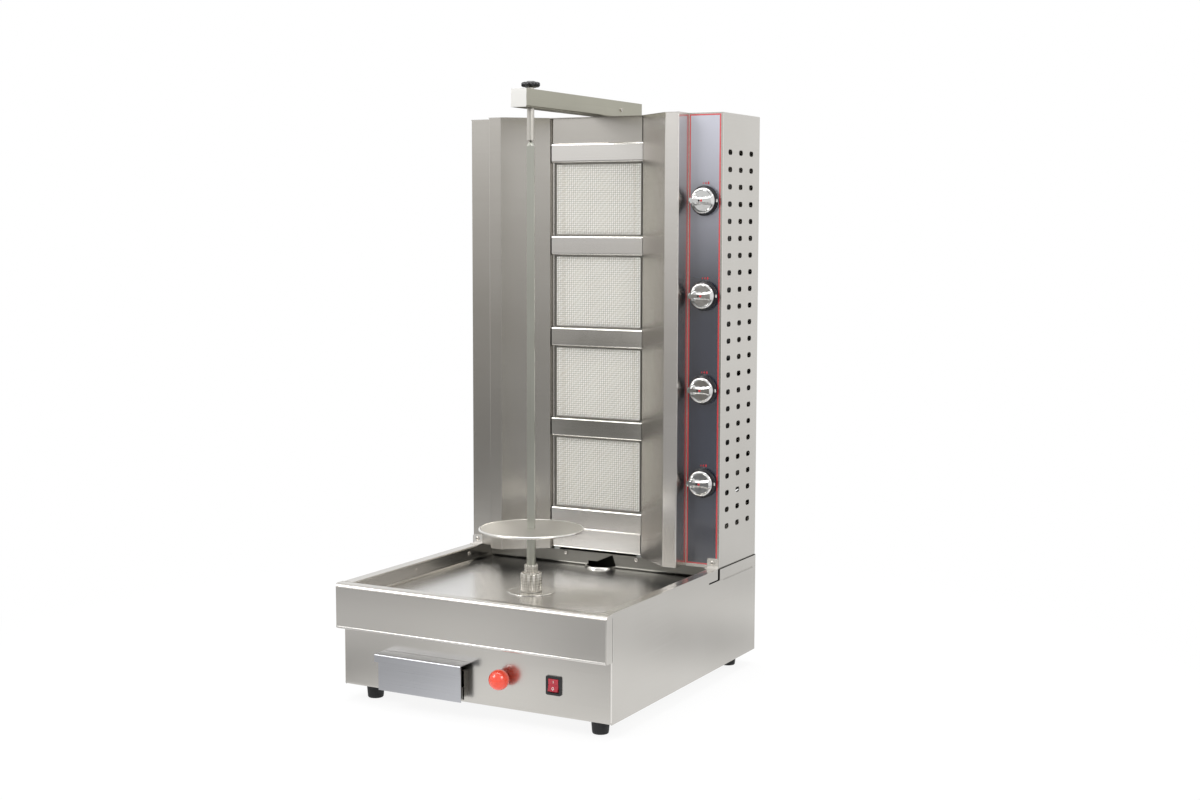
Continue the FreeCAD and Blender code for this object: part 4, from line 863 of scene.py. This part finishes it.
# Burner guards: folded rims with round corners and a plain weave of 0.6 mm wire.
# Real mesh is about 2 mm, drawn 3.8 mm so that its cells still show.
guard = {
    "half": 0.087,
    "rim": 0.0026,
    "corner": 0.0045,
    "front": 0.14425,
    "thick": 0.003,
    "top": 0.9265,
    "pitch": 0.1622,
    "bar": 0.034,  # height of the bar above each guard
    "gap": 0.0003,
    "wire": 0.0003,  # radius of the wire, and of its waves
    "weave": 0.0038,
    "sides": 5,
    "edges": (0.0010, 0.0008),  # radii of the rim's outer and inner edge
    "liner": [(0.066, 0.14935), (0.0778, 0.1469), (0.0859, 0.1467),  # section: place across, depth
              (0.0859, 0.1471), (0.0778, 0.1472), (0.066, 0.1496)],
}


def guardSpan(s, k):  # lower and upper edge of a guard, counted from the top
    low = s["top"] - (k + 1) * s["pitch"] + s["gap"]
    high = s["top"] - k * s["pitch"] - s["bar"] - s["gap"]
    return low, high


def guardWires(s, low, high):
    # wire line: offset = +-radius * cos(pi * distance / pitch), with the sign changing from wire to wire
    inner = s["half"] - s["rim"]
    base, top = low + s["rim"], high - s["rim"]
    middle = s["front"] + s["thick"] * 0.5
    angle = around(s["sides"])
    parts = []
    for first, last, runLow, runHigh, upright in ((-inner, inner, base, top, True),
                                                  (base, top, -inner, inner, False)):
        wires = int(round((last - first) / s["weave"])) - 1
        crossings = int(round((runHigh - runLow) / s["weave"]))
        place = first + (last - first) * np.arange(1, wires + 1) / (wires + 1)
        step = np.linspace(0, crossings, 2 * crossings + 1)
        run = runLow + (runHigh - runLow) * step / crossings
        sign = (-1.0) ** np.arange(wires)
        wave = s["wire"] * sign[:, None] * np.cos(np.pi * step)[None] * (1 if upright else -1)
        across = place[:, None, None] + s["wire"] * np.cos(angle)[None, None] + 0 * run[None, :, None]
        depth = middle + wave[:, :, None] + s["wire"] * np.sin(angle)[None, None]
        along = run[None, :, None] + 0 * across
        points = np.stack((across, depth, along) if upright else (along, depth, across), axis=-1)
        one = gridFaces(len(run), s["sides"])
        faces = (one[None] + (np.arange(wires) * len(run) * s["sides"])[:, None, None]).reshape(-1, 4)
        parts.append((points, faces, "wire"))
    return parts


def guardRim(s, low, high):
    # a rounded strip section carried round a rectangle whose corners are arcs about their own centres
    outer, inner = s["edges"]
    section = np.concatenate([arc(outer, outer, outer, 270, 180, 4),
                              [(0.0, s["thick"]), (s["rim"], s["thick"])],
                              arc(s["rim"] - inner, inner, inner, 0, -90, 4)])
    inset, deep = section.T[:, :, None]
    angle = np.radians(np.concatenate([np.linspace(start, start + 90, 9) for start in (180, 270, 0, 90)]))
    signs = np.repeat(np.array([(-1, -1), (1, -1), (1, 1), (-1, 1)]), 9, axis=0)
    bend = s["corner"] - inset
    x = signs[:, 0] * (s["half"] - s["corner"]) + bend * np.cos(angle)
    z = (low + high) / 2 + signs[:, 1] * ((high - low) / 2 - s["corner"]) + bend * np.sin(angle)
    points = np.stack([x, s["front"] + deep + 0 * x, z], axis=-1)
    # the rim in the darker grey steel: painted shadow where the weave meets it
    return points, gridFaces(len(section), points.shape[1], True), "paintedShadeGrey"


def guardLiner(s, low, high, side):
    # a bent strip of ceramic paper that closes the space beside the plate
    ends = [[(side * across, deep, z) for across, deep in s["liner"]]
            for z in (low + s["rim"] / 2, high - s["rim"] / 2)]
    return carried(*ends, "ceramic")


def makeGuards(s):
    rims, liners = [], []
    for k in range(4):
        low, high = guardSpan(s, k)
        rims.append(guardRim(s, low, high))
        liners += [guardLiner(s, low, high, side) for side in (-1, 1)]
        makePiece("wovenWire" + str(k + 1), guardWires(s, low, high), "housing")
    makePiece("guardRims", rims, "housing", ["mesh_screens"])
    makePiece("guardLiners", liners, "housing")


makeGuards(guard)


# Screws: pan heads with a cross recess
screwHead = {
    "radius": 0.0035,
    "height": 0.0022,
    "dome": (0.55, 2.6),  # how much lower its edge is, and how late it drops
    "cross": 0.0005,  # half width, reach and depth of the recess, and the run of its walls
    "reach": 0.0019,
    "deep": 0.0011,
    "slope": (0.00025, 0.0004),
    "trayWall": (0.2305, (-0.08875, 0.08125), 0.187),  # places: across, depths and height
    "trayRear": (0.072, 0.15875, 0.191),
    "brackets": (0.23805, 0.12145, 0.20735),
    "towerBack": (0.2409, 0.27805, (0.2062, 0.5848, 0.9634)),
    "baseBack": (0.242, 0.27885, (0.0333, 0.189)),
    "armLock": (0.0145, 0.20325, 0.986),
}


def crossHead(s, place, axis):
    # height = dome less a cross shaped dip, over a polar grid
    radius = np.concatenate([np.linspace(0, s["reach"], 8), np.linspace(s["reach"], s["radius"], 6)[1:],
                             [s["radius"]]])[:, None]
    angle = around(48)
    line = np.minimum(np.abs(radius * np.cos(angle)), np.abs(radius * np.sin(angle)))
    dome = s["height"] * np.sqrt(np.clip(1 - s["dome"][0] * (radius / s["radius"]) ** s["dome"][1], 0, 1))
    arm = softStep((s["cross"] - line) / s["slope"][0])
    height = dome - s["deep"] * arm * softStep((s["reach"] - radius) / s["slope"][1])
    height[-1] = 0.0
    return polar(place, axis, radius, height, angle), gridFaces(*height.shape), "screw"


def makeScrews(s):
    parts = []
    x, depths, z = s["trayWall"]
    for side, axis in ((-1, "right"), (1, "left")):
        parts += [crossHead(s, (side * x, y, z), axis) for y in depths]
    for side in (-1, 1):
        for x, y, z in (s["trayRear"], s["brackets"]):
            parts.append(crossHead(s, (side * x, y, z), "front"))
        for x, y, heights in (s["towerBack"], s["baseBack"]):
            parts += [crossHead(s, (side * x, y, z), "back") for z in heights]
    makePiece("crossScrews", parts, "housing", ["panel_screws"])
    makePiece("armLockScrew", [crossHead(s, s["armLock"], "right")], "arm")


makeScrews(screwHead)


# Drive coupling: base ring, fluted drum and fluted neck, bored for the spit
driver = {
    "flutes": 12,
    "bore": 0.0078,
    "rows": [  # height, radius, depth of the flutes
        (0.0, 0.0179, 0.0), (0.0004, 0.0185, 0.0), (0.0019, 0.0185, 0.0), (0.0023, 0.0180, 0.0),
        (0.0025, 0.0172, 0.0006), (0.0034, 0.0183, 0.0022), (0.0290, 0.0183, 0.0022),
        (0.0306, 0.0176, 0.0016), (0.0313, 0.0164, 0.0006), (0.0315, 0.0112, 0.0), (0.0325, 0.0114, 0.0010),
        (0.0395, 0.0117, 0.0011), (0.0438, 0.0117, 0.0008), (0.0448, 0.0112, 0.0003), (0.0450, 0.0104, 0.0)],
}


def makeDriver(s):
    # radius = row radius - flute depth * |cos(flutes * angle / 2)| to the sixth
    low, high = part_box("drive_coupling")
    rows = s["rows"] + [(s["rows"][-1][0], s["bore"], 0.0), (0.0, s["bore"], 0.0)]
    height, radius, deep = np.array(rows).T[:, :, None]
    angle = around(20 * s["flutes"])
    radius = radius - deep * np.abs(np.cos(s["flutes"] * angle / 2)) ** 6
    points = polar(((low.x + high.x) / 2, (low.y + high.y) / 2, low.z), "up", radius, height, angle)
    piece = (points, gridFaces(*points.shape[:2], True), "turned")
    makePiece("flutedDriver", [piece], "spit", ["drive_coupling"], 28.0)


makeDriver(driver)


# Rolled edges of the cover disc and the meat disc: round beads that catch the light
rolls = [  # piece, disc, body, distance of the bead from the disc's edge, its radius, its turn, its points
    ("coverDiscRoll", "shaft_cover_disc", "carriage", 0.0004, 0.0007, 330, (12, 96)),
    ("discRoll", "meat_disc", "meat_disc", 0.0014, 0.0024, 345, (24, 144)),
]


def makeRolls(rows):
    for name, disc, body, inset, size, turn, (bend, along) in rows:
        low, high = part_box(disc)
        bead = arc((high.x - low.x) / 2 - inset, 0.0, size, 0, turn, bend)
        points, _, key = turned(bead, (low + high) / 2, "up", "cover", along)
        makePiece(name, [(points, gridFaces(bend, along, True), key)], body, (), 60.0)


makeRolls(rolls)


# Drain collar: half dish with a rolled lip, in front of the opening in the tray's rear wall
drainCollar = {
    "x": 0.0015,
    "y": 0.15855,
    "floor": 0.172,
    "wall": 0.0008,
    "rows": [  # radius, height over the floor
        (0.0300, 0.0001), (0.0296, 0.0018), (0.0286, 0.0032), (0.0272, 0.0038), (0.0257, 0.0034),
        (0.0244, 0.0020), (0.0225, 0.0008), (0.0180, -0.0010), (0.0130, -0.0024)],
}


def makeDrainCollar(s):
    # the outline of radius and height turned through half a circle towards the front, closed at both ends
    upper = np.array(s["rows"])
    outline = np.concatenate([upper, upper[::-1] - (0.0, s["wall"])])
    radius, height = outline.T[:, :, None]
    points = polar((s["x"], s["y"], s["floor"]), "up", radius, height, np.linspace(np.pi, 2 * np.pi, 49))
    count, across = points.shape[:2]
    faces = gridFaces(count, across, True, False).tolist()
    faces += [[k * across for k in range(count)], [k * across + across - 1 for k in range(count)][::-1]]
    makePiece("drainCollar", [(points, faces, "cover")], "housing", (), 50.0)


makeDrainCollar(drainCollar)


# Lines where the sheet turns: beads at the corners and along the rolled lower edge of the fascia, in the
# lighter bar steel as painted highlight, and at its side seams a near black line of painted shade beside a
# bright ridge of painted highlight
bendHighlight = {
    "radius": 0.0016,
    "proud": 0.0003,
    "inside": 0.0007,
    "baseEnds": (0.004, -0.0002),  # from the base panel's lower edge to the fascia's, and gaps left there
    "towerEnds": (0.002, -0.001),
    "hem": 0.0028,
    "hemProud": 0.0005,
    "hemInset": 0.0022,
    "hemRound": 0.001,
    "seam": -0.2688,
    "seamSunk": 0.0003,
    "seamEnds": (0.001, -0.006),
    "seamLines": (("sooted", -0.0011, 0.0005), ("bar", 0.0, 0.0006)),  # finish, place, half width
}


def cornerBead(s, x, y, outward, low, high):
    # section of a quarter circle and two inner points, carried straight up
    r, e = s["radius"], s["proud"]
    section = arc(r - e, r - e, r, 180, 270, 8).tolist() + [(r - e, s["inside"]), (s["inside"], r - e)]
    ends = [[(x - outward * across, y + deep, z) for across, deep in section] for z in (low, high)]
    return carried(*ends, "bar")


def makeBendHighlights(s):
    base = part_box("base_front_panel")
    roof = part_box("tower_right_panel")
    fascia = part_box("front_fascia")
    low, high = base[0].z + s["baseEnds"][0], fascia[0].z + s["baseEnds"][1]
    parts = [cornerBead(s, x, base[0].y, side, low, high) for x, side in ((base[0].x, -1), (base[1].x, 1))]
    low, high = roof[0].z + s["towerEnds"][0], roof[1].z + s["towerEnds"][1]
    parts.append(cornerBead(s, roof[1].x, roof[0].y, 1, low, high))
    rise, bend = s["hem"] - s["hemProud"], s["hemRound"]
    length = fascia[1].x - fascia[0].x - 2 * s["hemInset"]
    roll = np.concatenate([[(0.0, 0.0)], arc(s["hem"] - bend, bend, bend, -90, 0, 5),
                           arc(s["hem"] - bend, length - bend, bend, 0, 90, 5), [(0.0, length)]])
    centre = (fascia[0].x + s["hemInset"], fascia[0].y + rise, fascia[0].z + rise)
    parts.append(turned(roll, centre, "right", "bar", 32))
    for side, face in ((-1, fascia[0].x), (1, fascia[1].x)):  # a dark line of painted shade and a bright ridge of painted highlight at its sides
        for key, back, half in s["seamLines"]:
            ridge = arc(0.0, 0.0, half, 0, 330, 12).tolist()
            ends = [[(face + side * (out - s["seamSunk"]), s["seam"] + back + deep, z) for out, deep in ridge]
                    for z in (fascia[0].z + s["seamEnds"][0], fascia[1].z + s["seamEnds"][1])]
            parts.append(carried(*ends, key))
    makePiece("bendHighlightBeads", parts, "housing", (), 40.0)


makeBendHighlights(bendHighlight)


# Ribs laid along a line: lap seams of the side sheets, drawn as dark lines of painted shade, and rounded
# strips beside the burner column in the lighter bar steel, a painted highlight
sideSeam = {"face": 0.2499, "proud": 0.00025, "lines": [  # height, first and last depth, half width, finish
    (0.1976, 0.1262, 0.2766, 0.0010, "sooted"), (0.1765, 0.1405, 0.2660, 0.00045, "paintedShadeGrey")]}
columnStrip = {"middle": 0.09, "half": 0.0021, "proud": 0.0011, "front": 0.1454,
               "above": 0.9695, "sill": (0.2032, 0.2384)}  # the upper end, and the span beside the sill


def rib(start, end, across, outward, half, proud, key):
    # section: half an ellipse, half * cos a across and proud * sin a outward, closed along its flat side
    angle = np.linspace(0, np.pi, 13)[:, None]
    section = half * np.cos(angle) * np.array(across) + proud * np.sin(angle) * np.array(outward)
    return carried(section + np.array(start), section + np.array(end), key)


def makeRibs(s, column, g):
    seams, strips = [], []
    levels = [(g["top"] + g["gap"], column["above"]), column["sill"]] + [guardSpan(g, k) for k in range(4)]
    for side in (-1, 1):
        for z, first, last, half, key in s["lines"]:
            start, end = ((side * s["face"], y, z) for y in (first, last))
            seams.append(rib(start, end, (0, 0, 1), (side, 0, 0), half, s["proud"], key))
        for span in levels:
            start, end = ((side * column["middle"], column["front"], z) for z in span)
            strips.append(rib(start, end, (1, 0, 0), (0, -1, 0), column["half"], column["proud"], "bar"))
    makePiece("sideSeams", seams, "housing", (), 50.0)
    makePiece("columnStrips", strips, "housing", (), 50.0)


makeRibs(sideSeam, columnStrip, guard)


# Heat marks on the film: three red drops that grow from left to right above each knob
heatMarks = {
    "rise": 0.0292,
    "gap": 0.0048,
    "sizes": (0.0011, 0.0015, 0.0019),
    "narrow": 0.8,
    "point": 0.6,  # how much longer a drop is at its top
    "depths": (0.12242, 0.1226),  # its face, and its back inside the film
}


def makeHeatMarks(s):
    # drop: radius = size * (1 + point * how far the angle points up, to the sixth)
    angle = around(28)
    parts = []
    for z in knob["heights"]:
        for k, size in enumerate(s["sizes"]):
            radius = size * (1 + s["point"] * np.clip(np.sin(angle), 0, 1) ** 6)
            x = knob["x"] + (k - 1) * s["gap"] + radius * np.cos(angle) * s["narrow"]
            up = z + s["rise"] + radius * np.sin(angle)
            ends = [np.stack([x, np.full(len(x), y), up], axis=1) for y in s["depths"]]
            parts.append(carried(*ends, "redInk"))
    makePiece("heatMarks", parts, "housing")


makeHeatMarks(heatMarks)
print("new pieces made")
